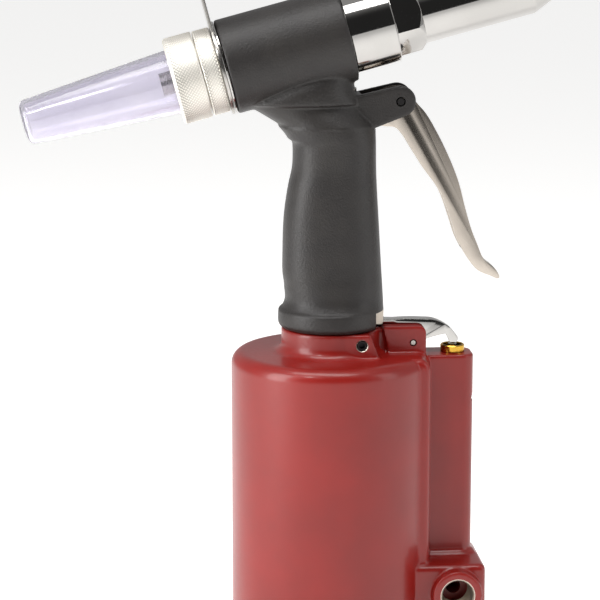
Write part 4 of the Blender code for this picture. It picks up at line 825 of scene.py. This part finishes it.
# ---------------------------------------------------------------- air cylinder
@dataclass
class Casting:
    """The red casting: cylinder, rib, valve block, inlet, neck and the lever's ears."""

    radius: float = 0.0439
    wall: float = 0.0046
    bottom: float = 0.0043
    shoulder: float = 0.1275
    shoulder_round: float = 0.0055
    neck: float = 0.0218
    neck_top: float = 0.1382
    neck_fillet: float = 0.0042
    neck_bore: float = 0.0169
    rib_x: float = 0.0417
    rib_half: float = 0.024
    valve_x: float = 0.0543
    block_x: float = 0.0631
    block_half: float = 0.009
    block_top: float = 0.1258
    inlet_x: float = 0.0535
    inlet_z: float = 0.022
    inlet_face: float = -0.0315
    inlet_front: float = -0.0265
    inlet_top: float = 0.0345
    pin_x: float = 0.0355
    pin_z: float = 0.132
    screw: Point2 = (0.0116, 0.1334)

    def body(self) -> Solid:
        """The cylinder, its rounded shoulder and its filleted neck."""
        top, round_ = self.shoulder, self.shoulder_round
        profile = [(0, self.neck_top), (self.neck, self.neck_top)]
        profile += arc((self.neck + self.neck_fillet, top + self.neck_fillet), self.neck_fillet, 180, 270)
        profile += arc((self.radius - round_, top - round_), round_, 90, 0, 12)
        profile += [(self.radius, self.bottom), (0, self.bottom)]
        return Solid.turned(profile, 192)

    def rib(self) -> Solid:
        """The raised pad in front of the valve block, with a rounded top corner."""
        low, high = self.bottom, self.shoulder
        outline = rounded([(0, low, 0), (self.rib_x, low, 0), (self.rib_x, high, 0.0053), (0, high, 0)])
        return Solid.prism(outline, -self.rib_half, self.rib_half).bevel(0.0028, 5, 50)

    def blend(self, side: int) -> Solid:
        """The hollow fillet that leads the cylinder's wall into the rib.

        Args:
            side: -1 for the near side, 1 for the far one.

        Returns:
            The solid that fills the corner.
        """
        fillet, half = 0.0045, self.rib_half - 0.0004
        x = sqrt((self.radius + fillet) ** 2 - (half + fillet) ** 2)
        y = -(half + fillet)
        share = self.radius / (self.radius + fillet)
        points = arc((x, y), fillet, degrees(atan2(-y, -x)), 90)
        points += [(x, -half + 0.004), (x * share - 0.002, y * share + 0.003)]
        outline = [(px, py * -side) for px, py in points]
        return Solid.prism(outline, self.bottom, self.shoulder - 0.0045, upright=True)

    def valve_block(self) -> Solid:
        """The upright block that holds the valve, with a flared foot over the inlet."""
        half, x = self.block_half, self.block_x
        inner, round_ = 0.034, 0.0055
        corners = [(inner, -half, 0), (x, -half, round_), (x, half, round_), (inner, half, 0)]
        outline = rounded(corners, 10)
        flare, out, round_ = half + 0.0015, x + 0.0014, 0.006
        corners = [(inner, -flare, 0), (out, -flare, round_), (out, flare, round_), (inner, flare, 0)]
        foot = rounded(corners, 10)
        block = Solid.prism(outline, self.bottom, self.block_top, upright=True)
        return block.join(Solid.prism(foot, self.bottom, self.inlet_top + 0.0012, upright=True))

    def inlet(self) -> tuple[Solid, Solid]:
        """The inlet block and the round boss on its face."""
        low = (0.020, self.inlet_front, self.bottom)
        block = Solid.box(low, (self.block_x + 0.0035, 0.011, self.inlet_top)).bevel(0.0026, 4)
        start = (self.inlet_x, self.inlet_face, self.inlet_z)
        boss = Solid.rod(start, (self.inlet_x, -0.02, self.inlet_z), 0.0110, FINE)
        return block, boss

    def ears(self) -> tuple[Solid, Solid, Solid]:
        """The lever's two ears, the web behind them and the set screw's boss."""
        foot = self.shoulder - 0.006
        corners = [(0.0413, foot, 0), (0.0413, 0.1393, 0.0032), (0.0221, 0.1393, 0.0008), (0.0257, foot, 0)]
        ears = Solid.prism(rounded(corners, 8), -0.0100, 0.0100)
        outline = [(0.0373, foot - 0.002), (0.0373, 0.1376), (0.0183, 0.1376), (0.0183, foot - 0.002)]
        web = Solid.prism(outline, -0.008, 0.008)
        low = foot + 0.004
        corners = [(0, low, 0), (0.0200, low, 0), (0.0153, 0.1381, 0.0012), (0, 0.1381, 0)]
        return ears, web, Solid.prism(rounded(corners), -0.0214, 0)

    def hollows(self) -> list[Solid]:
        """What is machined out of the casting after it is cast.

        Returns:
            The cylinder's bore with the neck's, the valve's bore in two sizes, the inlet, its passage, the
            louvre, the lever's slot, its pin's hole and the set screw's.
        """
        low, high = self.bottom - OVER, self.neck_top + OVER
        bore, neck, ram = self.radius - self.wall, self.neck_bore, 0.0062
        roof, floor = 0.119, 0.1225
        core = [(0, high), (neck, high), (neck, floor), (ram, floor), (ram, roof)]
        core += [(bore, roof), (bore, low), (0, low)]
        x, z, face = self.inlet_x, self.inlet_z, self.inlet_face
        mouth = sideways(x, face, z)
        thread = [(0, OVER), (0.0079, OVER), (0.0079, -0.0001), (0.0070, -0.0010)]
        thread += [(0.0070, -0.015), (0, -0.015)]
        end = self.block_x
        louvre = [(end - 0.0013, 0.1047), (end + OVER, 0.1035), (end + OVER, 0.1142)]
        return [
            Solid.turned(core, FINE),
            Solid.rod((self.valve_x, 0, 0.036), (self.valve_x, 0, 0.128), 0.005),
            Solid.rod((self.valve_x, 0, low), (self.valve_x, 0, 0.04), 0.0035),
            Solid.turned(thread, MEDIUM, mouth),
            Solid.rod((x, face, z), (x, 0, z), 0.0033),
            Solid.prism(louvre, -0.012, 0.012),
            Solid.box((0.0144, -0.0038, 0.1287), (0.045, 0.0038, 0.145)),
            Solid.rod((self.pin_x, -0.012, self.pin_z), (self.pin_x, 0.012, self.pin_z), 0.0016),
            Solid.rod((self.screw[0], -0.024, self.screw[1]), (self.screw[0], -0.01, self.screw[1]), 0.0027),
        ]

    def build(self) -> None:
        """Casts, machines and paints it, and sets its bare thread and its screw."""
        casting = self.body().join(self.rib(), self.blend(-1), self.blend(1), self.valve_block())
        casting.join(*self.inlet(), *self.ears()).cast(0.00062, 5, 0.6)
        casting.cut(*self.hollows()).finish("cast_cylinder", "frame", RED, "air_cylinder", angle=40)
        self.thread()
        self.set_screw()
        self.foot()

    def thread(self) -> None:
        """The inlet's bare pipe thread: rings whose crests give way towards the mouth."""
        place = sideways(self.inlet_x, self.inlet_face, self.inlet_z)
        pitch, crest, root, turns, taper, first = 0.00134, 0.0059, 0.00672, 9, 0.00008, -0.0012
        profile = [(0.0078, -0.0003), (0.0069, first), (0.0069, -0.0146), (root, -0.0146)]
        for i in range(turns, 0, -1):
            tip = crest + taper * (turns + 1 - i)
            profile += [(root, first - pitch * i), (tip, first - pitch * (i - 0.5))]
        profile += [(root, first), (0.0074, -0.0003)]
        Solid.turned(profile, MEDIUM, place).finish("inlet_thread", "frame", ALUMINIUM)

    def set_screw(self) -> None:
        """The socket screw in the neck's boss, in its bare countersink."""
        x, z = self.screw
        place = sideways(x, -0.0214, z)
        screw = Solid.turned(bar(0.0023, -0.0071, -0.0004, 0.0003), SMALL, place)
        screw.cut(Solid.rod((x, -0.023, z), (x, -0.0189, z), 0.00145, 6))
        screw.finish("socket_screw", "frame", OXIDE, "neck_set_screw")
        ring = [(0.0027, -0.0001), (0.00262, 0.00005), (0.0024, -0.0002), (0.0024, -0.0009)]
        ring += [(0.0027, -0.0009)]
        Solid.turned(ring, SMALL, place).finish("screw_countersink", "frame", ALUMINIUM)

    def foot(self) -> None:
        """The rubber foot."""
        pad = [(0, 0.004), (0.0427, 0.004), (0.0427, 0.0012)]
        pad += arc((0.0415, 0.0012), 0.0012, 0, -90, 4) + [(0, 0)]
        Solid.turned(pad).finish("rubber_foot", "frame", RUBBER, "base_pad")


# ---------------------------------------------------------------- handle
@dataclass
class Handle:
    """The black handle: head casing, grip, clevis and the spigot in the neck.

    Attributes:
        sections: Height, rear edge, front edge, half width and squareness of each section.
    """

    sections: tuple[tuple[float, ...], ...] = (
        (0.1385, -0.0219, 0.0219, 0.0219, 2.0),
        (0.1403, -0.0232, 0.0232, 0.0230, 2.0),
        (0.1436, -0.0233, 0.0233, 0.0230, 2.0),
        (0.1470, -0.0217, 0.0232, 0.0213, 2.1),
        (0.1505, -0.0203, 0.0230, 0.0194, 2.2),
        (0.1580, -0.0207, 0.0225, 0.0183, 2.4),
        (0.1700, -0.0213, 0.0217, 0.0176, 2.5),
        (0.1870, -0.0207, 0.0207, 0.0173, 2.5),
        (0.2000, -0.0189, 0.0199, 0.0170, 2.5),
        (0.2090, -0.0170, 0.0195, 0.0168, 2.5),
        (0.2160, -0.0167, 0.0194, 0.0172, 2.5),
        (0.2220, -0.0191, 0.0193, 0.0178, 2.4),
        (0.2270, -0.0230, 0.0191, 0.0180, 2.2),
        (0.2305, -0.0268, 0.0180, 0.0172, 2.0),
        (0.2335, -0.0318, 0.0160, 0.0160, 2.0),
        (0.2380, -0.0375, 0.0132, 0.0174, 2.3),
        (0.2435, -0.0300, 0.0102, 0.0170, 2.2),
        (0.2520, -0.0140, 0.0098, 0.0130, 2.0),
    )
    head_radius: float = 0.02065
    head_rear: float = -0.0472
    head_front: float = 0.0067
    pivot: Point2 = (0.0293, 0.2381)
    clevis_radius: float = 0.0067
    clevis_half: float = 0.0088
    lug_half: float = 0.0050

    def grip(self) -> Solid:
        """The grip, lofted through its sections.

        Returns:
            The closed solid.
        """
        shape = bmesh.new()
        before: list[bmesh.types.BMEdge] = []
        for height, rear, front, half, square in flowing(self.sections, 5):
            ring = bmesh.ops.create_circle(shape, segments=MEDIUM, radius=1.0)["verts"]
            for vert in ring:
                c, s = vert.co.x, vert.co.y
                reach = (abs(c) ** square + abs(s) ** square) ** (-1 / square)
                vert.co = ((rear + front) / 2 + (front - rear) / 2 * reach * c, half * reach * s, height)
            edges = list({edge for vert in ring for edge in vert.link_edges})
            if before:
                bmesh.ops.bridge_loops(shape, edges=before + edges)
            before = edges
        bmesh.ops.holes_fill(shape, edges=[edge for edge in shape.edges if edge.is_boundary])
        return Solid(shape)

    def clevis(self) -> Solid:
        """The two ears that carry the trigger, before they are slotted."""
        x, z = self.pivot
        outline = [(x - 0.0113, z - 0.0115), (x - 0.0213, z - 0.0115), (x - 0.0213, z + 0.0021)]
        outline += reversed(arc((x, z), self.clevis_radius, -72, 108, 20))
        return Solid.prism(outline, -self.clevis_half, self.clevis_half)

    def hollows(self) -> list[Solid]:
        """The bores, the trigger's slot, the lever's slot and the notches beside the lug.

        Returns:
            The cutters.
        """
        x, z = self.pivot
        lug = self.lug_half
        return [
            Solid.turned(bar(0.0155, self.head_rear - OVER, self.head_front + OVER), MEDIUM, HEAD),
            Solid.turned(bar(0.0113, 0.11, 0.2438), MEDIUM),
            Solid.rod((0, 0, 0.24), (0, 0, 0.257), 0.0032),
            Solid.box((0.0125, -0.00555, z - 0.0125), (x + 0.012, 0.00555, z + 0.012)),
            Solid.box((0.0133, -0.0038, 0.12), (0.0263, 0.0038, 0.1495)),
            Solid.rod((0.0163, 0, 0.13), (0.0163, 0, z), 0.0015),
            Solid.rod((x, -0.02, z), (x, 0.02, z), 0.0021),
            Solid.box((0.0185, -0.03, 0.12), (0.03, 0.03, 0.1396)).join(
                Solid.box((0.0185, -0.029, 0.13), (0.029, -lug, 0.1462)),
                Solid.box((0.0185, lug, 0.13), (0.029, 0.029, 0.1462)),
            ),
        ]

    def build(self) -> None:
        """Casts, machines and coats it, and leaves the lug's faces bare."""
        casing = Solid.turned(bar(self.head_radius, self.head_rear, self.head_front, 0.0004), FINE, HEAD)
        spigot = Solid.turned(bar(0.0165, 0.1283, 0.1415), MEDIUM)
        handle = self.grip().join(casing, self.clevis(), spigot).cast(0.0006, 6, 0.9)
        piece = handle.cut(*self.hollows()).finish("coated_handle", "frame", BLACK, "handle_frame", angle=45)
        piece.data.materials.append(ALUMINIUM.material())
        for face in piece.data.polygons:
            x, y, z = face.center
            on_lug = x > 0.0184 and abs(y) < self.lug_half + 0.0002 and 0.1385 < z < 0.1461
            if on_lug and abs(face.normal.x) < 0.9:
                face.material_index = 1
        self.bleed_screw()

    def bleed_screw(self) -> None:
        """The button screw on the far side of the head."""
        outside = Matrix.Translation((0, self.head_radius + GAP, -0.004))
        place = HEAD @ outside @ Matrix.Rotation(-pi / 2, 4, "X")
        profile = [(0, 0.0022), (0.0020, 0.0022)] + arc((0.0016, 0.0002), 0.0020, 80, 0, 6)
        profile += [(0.0036, 0), (0.002, 0), (0.002, -0.005), (0, -0.005)]
        screw = Solid.turned(profile, SMALL, place)
        screw.cut(Solid.rod((0, 0, 0.0008), (0, 0, 0.004), 0.0013, 6, place))
        screw.finish("bleed_button", "frame", OXIDE, "bleed_screw")


# ---------------------------------------------------------------- trigger
@dataclass
class Trigger:
    """The trigger: a pressed channel with its web outward, on its pin.

    Attributes:
        outer: Its outer edge downward, from the pivot.
        inner: Its inner edge upward.
        arm: The arm behind the pivot.
    """

    pivot: Point2 = (0.0293, 0.2381)
    half: float = 0.00525
    wall: float = 0.0018
    web: float = 0.0020
    outer: tuple[Point2, ...] = (
        (0.0362, 0.2378), (0.0406, 0.2327), (0.0462, 0.2232), (0.0518, 0.2116), (0.0555, 0.2020),
        (0.0586, 0.1903), (0.0613, 0.1814), (0.0640, 0.1747), (0.0670, 0.1680), (0.0722, 0.1635),
        (0.0741, 0.1597),
    )
    inner: tuple[Point2, ...] = (
        (0.0730, 0.1592), (0.0708, 0.1602), (0.0641, 0.1632), (0.0596, 0.1689), (0.0551, 0.1771),
        (0.0521, 0.1860), (0.0475, 0.1981), (0.0409, 0.2073), (0.0357, 0.2154), (0.0306, 0.2234),
        (0.0269, 0.2267), (0.0226, 0.2271),
    )
    arm: tuple[Point2, ...] = (
        (0.0175, 0.2285), (0.0152, 0.2320), (0.0140, 0.2362), (0.0170, 0.2395), (0.0240, 0.2429),
        (0.0300, 0.2439), (0.0340, 0.2421),
    )

    def build(self) -> None:
        """Presses the channel, rounds its edges and plates it."""
        x, z = self.pivot
        blade = Solid.prism(flowing(self.outer + self.inner + self.arm, 4, True), -self.half, self.half)
        inside = [(px - self.web * 0.87, pz - self.web * 0.5) for px, pz in flowing(self.outer[1:8], 4)]
        inside += [(0.045, 0.17), (0.005, 0.17), (0.005, 0.25), (0.033, 0.25)]
        hollow = self.half - self.wall
        blade.cut(
            Solid.prism(inside, -hollow, hollow),
            Solid.rod((x, -0.01, z), (x, 0.01, z), 0.0021),
            Solid.rod((0.0163, -0.01, 0.2358), (0.0163, 0.01, 0.2358), 0.0015),
        )
        blade.bevel(0.0005, 3, 40).finish("trigger_channel", "trigger", NICKEL, "trigger", angle=40)
        pin = Solid.turned(bar(0.0018, -0.0085, 0.0085, 0.0003), SMALL, sideways(x, 0, z))
        pin.finish("trigger_pivot", "frame", OXIDE, "trigger_pin")


# ---------------------------------------------------------------- valve lever, bush and pin
@dataclass
class ValveGear:
    """The lever between the ears, the brass bush and the lever's pin."""

    pin: Point2 = (0.0355, 0.132)
    valve_x: float = 0.0543
    bush_low: float = 0.1261
    half: float = 0.0032
    tip_half: float = 0.0024

    def lever_outline(self) -> list[Point2]:
        """The lever's side view, from its thin tongue over the pin and round to its tip.

        Returns:
            The outline's points of (x, z).
        """
        x, v, top, under = self.pin[0], self.valve_x, 0.1411, 0.1331
        upper = [(x - 0.0080, 0.1411), (x - 0.0020, 0.1413), (x + 0.0047, top), (v - 0.0078, top - 0.0007)]
        upper += [(v - 0.0016, top - 0.0040), (v + 0.0020, top - 0.0084)]
        lower = [(v - 0.0036, under + 0.0012), (v - 0.0068, under + 0.0006), (x + 0.0045, under - 0.0016)]
        lower += [(x, self.pin[1] - 0.0027), (x - 0.0037, self.pin[1] - 0.0008), (x - 0.0055, 0.1372)]
        outline = [(0.0141, 0.1394), (0.0141, 0.1415)] + flowing(upper, 5)
        outline += arc((v, 0.1319), 0.0022, 0, -180, 10) + flowing(lower, 5) + [(x - 0.0093, 0.1394)]
        return outline

    def build(self) -> None:
        """Forges and chromes the lever, and turns the bush and the pin."""
        x, z = self.pin
        reach = self.half + OVER
        near, far = self.valve_x - 0.0038, self.valve_x + 0.0057
        lever = Solid.prism(self.lever_outline(), -self.half, self.half)
        lever.cut(
            Solid.rod((x, -reach, z), (x, reach, z), 0.0016),
            Solid.box((0.0123, -0.0018, 0.137), (0.0181, 0.0018, 0.143)),
            Solid.box((near, self.tip_half, 0.126), (far, reach, 0.1365)),
            Solid.box((near, -reach, 0.126), (far, -self.tip_half, 0.1365)),
        )
        lever.bevel(0.0006, 3, 40).finish("forged_lever", "valve_lever", CHROME, "valve_lever", angle=40)
        place = Matrix.Translation((self.valve_x, 0, 0))
        low, top = self.bush_low, self.bush_low + 0.003
        bush = [(0.0043, top - 0.0002), (0.0046, top), (0.0050, top), (0.00535, top - 0.0004), (0.00535, low)]
        bush += [(0.0047, low), (0.0047, low - 0.014), (0.0023, low - 0.014)]
        bush += [(0.0023, top - 0.0085), (0.0043, top - 0.0085)]
        Solid.turned(bush, MEDIUM, place).finish("brass_bush", "frame", BRASS, "valve_bush")
        pin = Solid.turned(bar(0.0013, -0.0097, 0.0097, 0.0003), SMALL, sideways(x, 0, z))
        pin.finish("lever_pivot", "frame", STEEL, "valve_lever_pin")


# ---------------------------------------------------------------- pulling head
@dataclass
class PullingHead:
    """Barrel, washer, hanger, knurled cap, collar, bottle and nose, all on the head's axis."""

    cap_radius: float = 0.01875
    cap_front: float = -0.0502
    cap_rear: float = -0.0576
    collar_radius: float = 0.0190
    collar_rear: float = -0.0709
    plate_front: float = -0.0486
    plate_thickness: float = 0.0012
    hanger_radius: float = 0.0203
    hanger_bend: float = 0.03315
    hanger_rise: float = 0.05015
    hanger_half: float = 0.0110
    hanger_lean: float = radians(24)
    eye_radius: float = 0.0068
    bottle_neck: float = 0.0140
    bottle_tip: float = 0.0098
    bottle_tip_s: float = -0.1373
    bottle_wall: float = 0.0015
    knurl_pitch: float = 0.0016
    knurl_depth: float = 0.00045
    hex_flats: float = 0.027
    hex_turn: float = radians(15.5)

    def knurled(self, profile: Profile, radius: float, low: float, high: float) -> Solid:
        """Turns a ring and rolls a diamond knurl into its outer face.

        Args:
            profile: The ring's profile, which starts with its outer face's front end.
            radius: The outer face's radius.
            low: Where the knurl starts, along s.
            high: Where it ends.

        Returns:
            The ring, with a painted_groove_shade attribute that holds how much shade is painted at each
            point.
        """
        cells = round(2 * pi * radius / self.knurl_pitch)
        step = self.knurl_pitch / 4
        rows = int((high - low) / step)
        face = [(radius, high - (high - low) * i / rows) for i in range(rows + 1)]
        ring = Solid.turned(face + list(profile), cells * 4)
        mesh = ring.obj.data
        # Each point of the knurl gets an amount of painted shade, by how deep it is cut.
        painted_groove_shade = mesh.attributes.new("painted_groove_shade", "FLOAT", "POINT")
        for vert in mesh.vertices:
            inside = hypot(vert.co.x, vert.co.y) < radius - 0.00002
            if inside or not low - MERGE < vert.co.z < high + MERGE:
                continue
            around = Vector((vert.co.x, vert.co.y)).angle_signed(Vector((1, 0))) / (2 * pi) * cells
            along = (vert.co.z - low) / self.knurl_pitch
            cuts = [abs((around + way * along) % 1 - 0.5) * 2 for way in (-1, 1)]
            deep = max(cuts) ** 2
            # The painted shade starts at three eighths of the grooves' depth.
            painted_groove_shade.data[vert.index].value = max(0.0, deep * 1.6 - 0.6)
            shrink = 1 - self.knurl_depth * deep / radius
            vert.co.x *= shrink
            vert.co.y *= shrink
        mesh.transform(HEAD)
        return ring

    def cap(self) -> None:
        """The knurled cap that closes the head."""
        radius, front, rear, edge = self.cap_radius, self.cap_front, self.cap_rear, 0.0005
        profile = [(radius - edge, rear), (0.0150, rear), (0.0150, rear - 0.0075), (0.0053, rear - 0.0075)]
        profile += [(0.0053, -0.054), (0.0131, -0.054), (0.0131, -0.042), (0.0152, -0.042)]
        profile += [(0.0152, front), (radius - edge, front)]
        cap = self.knurled(profile, radius, rear + edge, front - edge)
        cap.finish("knurled_cap", "frame", KNURLED, "rear_cap", angle=50)

    def collar(self) -> None:
        """The knurled collar that holds the bottle."""
        radius, front, rear = self.collar_radius, -0.0581, self.collar_rear
        hole = self.bottle_neck + 0.0006
        profile = [(radius - 0.0011, rear), (hole, rear), (hole, -0.0682)]
        profile += [(0.0153, -0.0682), (0.0153, front), (radius - 0.0006, front)]
        collar = self.knurled(profile, radius, rear + 0.0012, front - 0.0006)
        collar.finish("knurled_collar", "bottle", KNURLED, "bottle_collar", angle=50)

    def bottle(self) -> None:
        """The clear bottle that catches the spent mandrels."""
        neck, tip, end, wall = self.bottle_neck, self.bottle_tip, self.bottle_tip_s, self.bottle_wall
        outer = [(0.0150, -0.0657), (0.0150, -0.0679), (neck, -0.0679), (neck, self.collar_rear)]
        outer += arc((tip - 0.003, end + 0.003), 0.003, 0, -90, 10) + [(0, end)]
        inner = [(0, end + wall)] + arc((tip - 0.0034, end + wall + 0.0018), 0.0018, -90, 0, 6)
        inner += [(neck - wall, self.collar_rear), (neck - wall, -0.0657)]
        moulding = Solid.turned(outer + inner, FINE, HEAD)
        moulding.finish("clear_bottle", "bottle", CLEAR, "mandrel_bottle", angle=50)

    def barrel(self) -> None:
        """The chromed barrel and the washer behind the head."""
        profile = [(0.0152, 0.0266), (0.0174, 0.0266), (0.0178, 0.0262), (0.0178, 0.0073), (0.0175, 0.0070)]
        profile += [(0.0152, 0.0070), (0.0152, 0.0008), (0.0083, 0.0008), (0.0083, 0.0047), (0.0105, 0.0047)]
        profile += [(0.0105, 0.0077), (0.0083, 0.0077), (0.0083, 0.012), (0.0152, 0.012)]
        Solid.turned(profile, FINE, HEAD).finish("chrome_barrel", "frame", CHROME, "head_barrel")
        washer = tube(0.0205, 0.0158, -0.0483, -0.0475, 0.00015)
        Solid.turned(washer, FINE, HEAD).finish("bright_washer", "frame", CHROME, "head_washer")

    def hanger(self) -> None:
        """The hanger: a plate round the head's bore, drawn up into a bent tongue with an eye."""
        front, back = self.plate_front, self.plate_front - self.plate_thickness
        eye = (self.hanger_rise - self.hanger_half, 0)
        tongue = [(-x, y) for x, y in arc(eye, self.hanger_half, -90, 90, 24)]
        rim = [(-0.010, -self.hanger_half), *tongue, (-0.010, self.hanger_half)]
        strip = Solid.prism(rim, back, front, upright=True)
        plate = Solid.turned(bar(self.hanger_radius, back, front))
        plate.join(strip)
        centre = -(self.hanger_rise - self.hanger_half)
        plate.cut(
            Solid.rod((centre, 0, back - OVER), (centre, 0, front + OVER), self.eye_radius, MEDIUM),
            Solid.rod((0, 0, back - OVER), (0, 0, front + OVER), 0.0158, MEDIUM),
        )
        shape = bmesh.new()
        shape.from_mesh(plate.obj.data)
        bends, spacing, before = 8, 0.0006, 0.002
        for k in range(bends):
            level = -(self.hanger_bend - before + spacing * k)
            everything = shape.verts[:] + shape.edges[:] + shape.faces[:]
            bmesh.ops.bisect_plane(shape, geom=everything, plane_co=(level, 0, 0), plane_no=(1, 0, 0))
        soft = 0.0022
        for vert in shape.verts:
            past = -vert.co.x - self.hanger_bend
            eased = past if past > soft else (past + soft) ** 2 / (4 * soft) if past > -soft else 0.0
            vert.co.z -= eased * tan(self.hanger_lean)
        shape.to_mesh(plate.obj.data)
        shape.free()
        plate.obj.data.transform(HEAD)
        plate.bevel(0.0003, 2, 60).finish("hanger", "frame", STEEL, "hanger_plate", angle=35)

    def nose(self) -> None:
        """The hexagon, sleeve and cone in one piece, and the nosepiece at its end."""
        profile = [(0.0040, 0.1044), (0.0063, 0.1044), (0.0066, 0.1040), (0.01325, 0.0878), (0.01325, 0.0270)]
        profile += [(0.0149, 0.0270), (0.0149, 0.0140), (0.0114, 0.0140), (0.0114, 0.0846), (0.0040, 0.0913)]
        nose = Solid.turned(profile, FINE, HEAD)
        corner = self.hex_flats / 2 / cos(pi / 6)
        turn = HEAD @ Matrix.Rotation(self.hex_turn, 4, "Z")
        hexagon = Solid.rod((0, 0, 0.0270), (0, 0, 0.0390), corner, 6, turn)
        cone = [(0, 0.0390), (0.01335, 0.0390), (corner + 0.0002, 0.0362), (corner + 0.0002, 0.0276)]
        cone += [(corner - 0.0008, 0.025), (0, 0.025)]
        hexagon.meet(Solid.turned(cone, FINE, HEAD)).bevel(0.00035, 2, 20)
        hexagon.cut(Solid.turned(bar(0.0120, 0.02, 0.05), MEDIUM, HEAD))
        nose.join(hexagon).finish("chrome_nose", "frame", CHROME, "nose_housing", angle=18)
        tip = [(0.0016, 0.1100), (0.0042, 0.1100)] + arc((0.0042, 0.1092), 0.0008, 90, 0, 5)
        tip += [(0.0050, 0.1047), (0.0037, 0.1047), (0.0037, 0.0843), (0.0026, 0.0823), (0.0016, 0.0823)]
        Solid.turned(tip, MEDIUM, HEAD).finish("steel_nosepiece", "frame", STEEL, "nosepiece")

    def build(self) -> None:
        """Builds every piece on the head's axis."""
        self.cap()
        self.collar()
        self.bottle()
        self.barrel()
        self.hanger()
        self.nose()


# ---------------------------------------------------------------- springs
@dataclass
class Spring:
    """A compression spring, whose winding is copied from its CAD node.

    Attributes:
        source: The CAD node of the wound spring.
        joint: The joint that presses it; not used.
        axis: The way that it shortens; not used.
        anchor: A point on its fixed end; not used.
        length: Its length at rest; not used.
        stroke: How much it is pressed; not used.
    """

    source: bpy.types.Object
    joint: str
    axis: Vector
    anchor: Vector
    length: float
    stroke: float

    def build(self) -> None:
        """Copies the winding, closes its seams and sets it on the frame."""
        shape = bmesh.new()
        shape.from_mesh(self.source.data)
        name = self.source.name
        wire = Solid(shape).finish(f"{name}_wire", "frame", SPRING, name)
        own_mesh(wire)


# ---------------------------------------------------------------- frame nodes
@dataclass
class InnerWorks:
    """The CAD nodes that stay: pistons, seals, jaws and rods, each in its own finish.

    Attributes:
        nodes: The CAD nodes by name.
        slots: The material slot of each node.
    """

    nodes: dict[str, bpy.types.Object]
    slots: dict[str, str]

    def dress(self) -> None:
        """Gives each shown node the finish of its slot."""
        by_name = {slot.value: finish for slot, finish in FINISHES.items()}
        for name, obj in self.nodes.items():
            if obj.hide_render:
                continue
            made = by_name[self.slots[name]].material()
            for slot in obj.material_slots:
                slot.material = made
            if not obj.material_slots:
                obj.data.materials.append(made)
            log.info("%s keeps its shape in %s", name, made.name)


def main() -> None:
    """Builds the tool round the frame, in the order that it is put together."""
    logging.basicConfig(level=logging.INFO, format="%(name)s: %(message)s")
    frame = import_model()
    Studio().build()
    Casting().build()
    Handle().build()
    Trigger().build()
    ValveGear().build()
    PullingHead().build()
    upright, along = Vector((0, 0, 1)), HEAD.to_3x3() @ Vector((0, 0, 1))
    nodes = frame["nodes"]
    seat, rear = Vector((0.0543, 0, 0.0363)), HEAD @ Vector((0, 0, -0.0537))
    Spring(nodes["valve_spring"], "valve_stem_slide", upright, seat, 0.0234, 0.0047).build()
    Spring(nodes["return_spring"], "puller_slide", along, rear, 0.0349, 0.0155).build()
    slots = {part["node"]: part["material_slot"] for part in frame["record"]["subparts"]}
    InnerWorks(nodes, slots).dress()


if __name__ == "__main__":
    main()
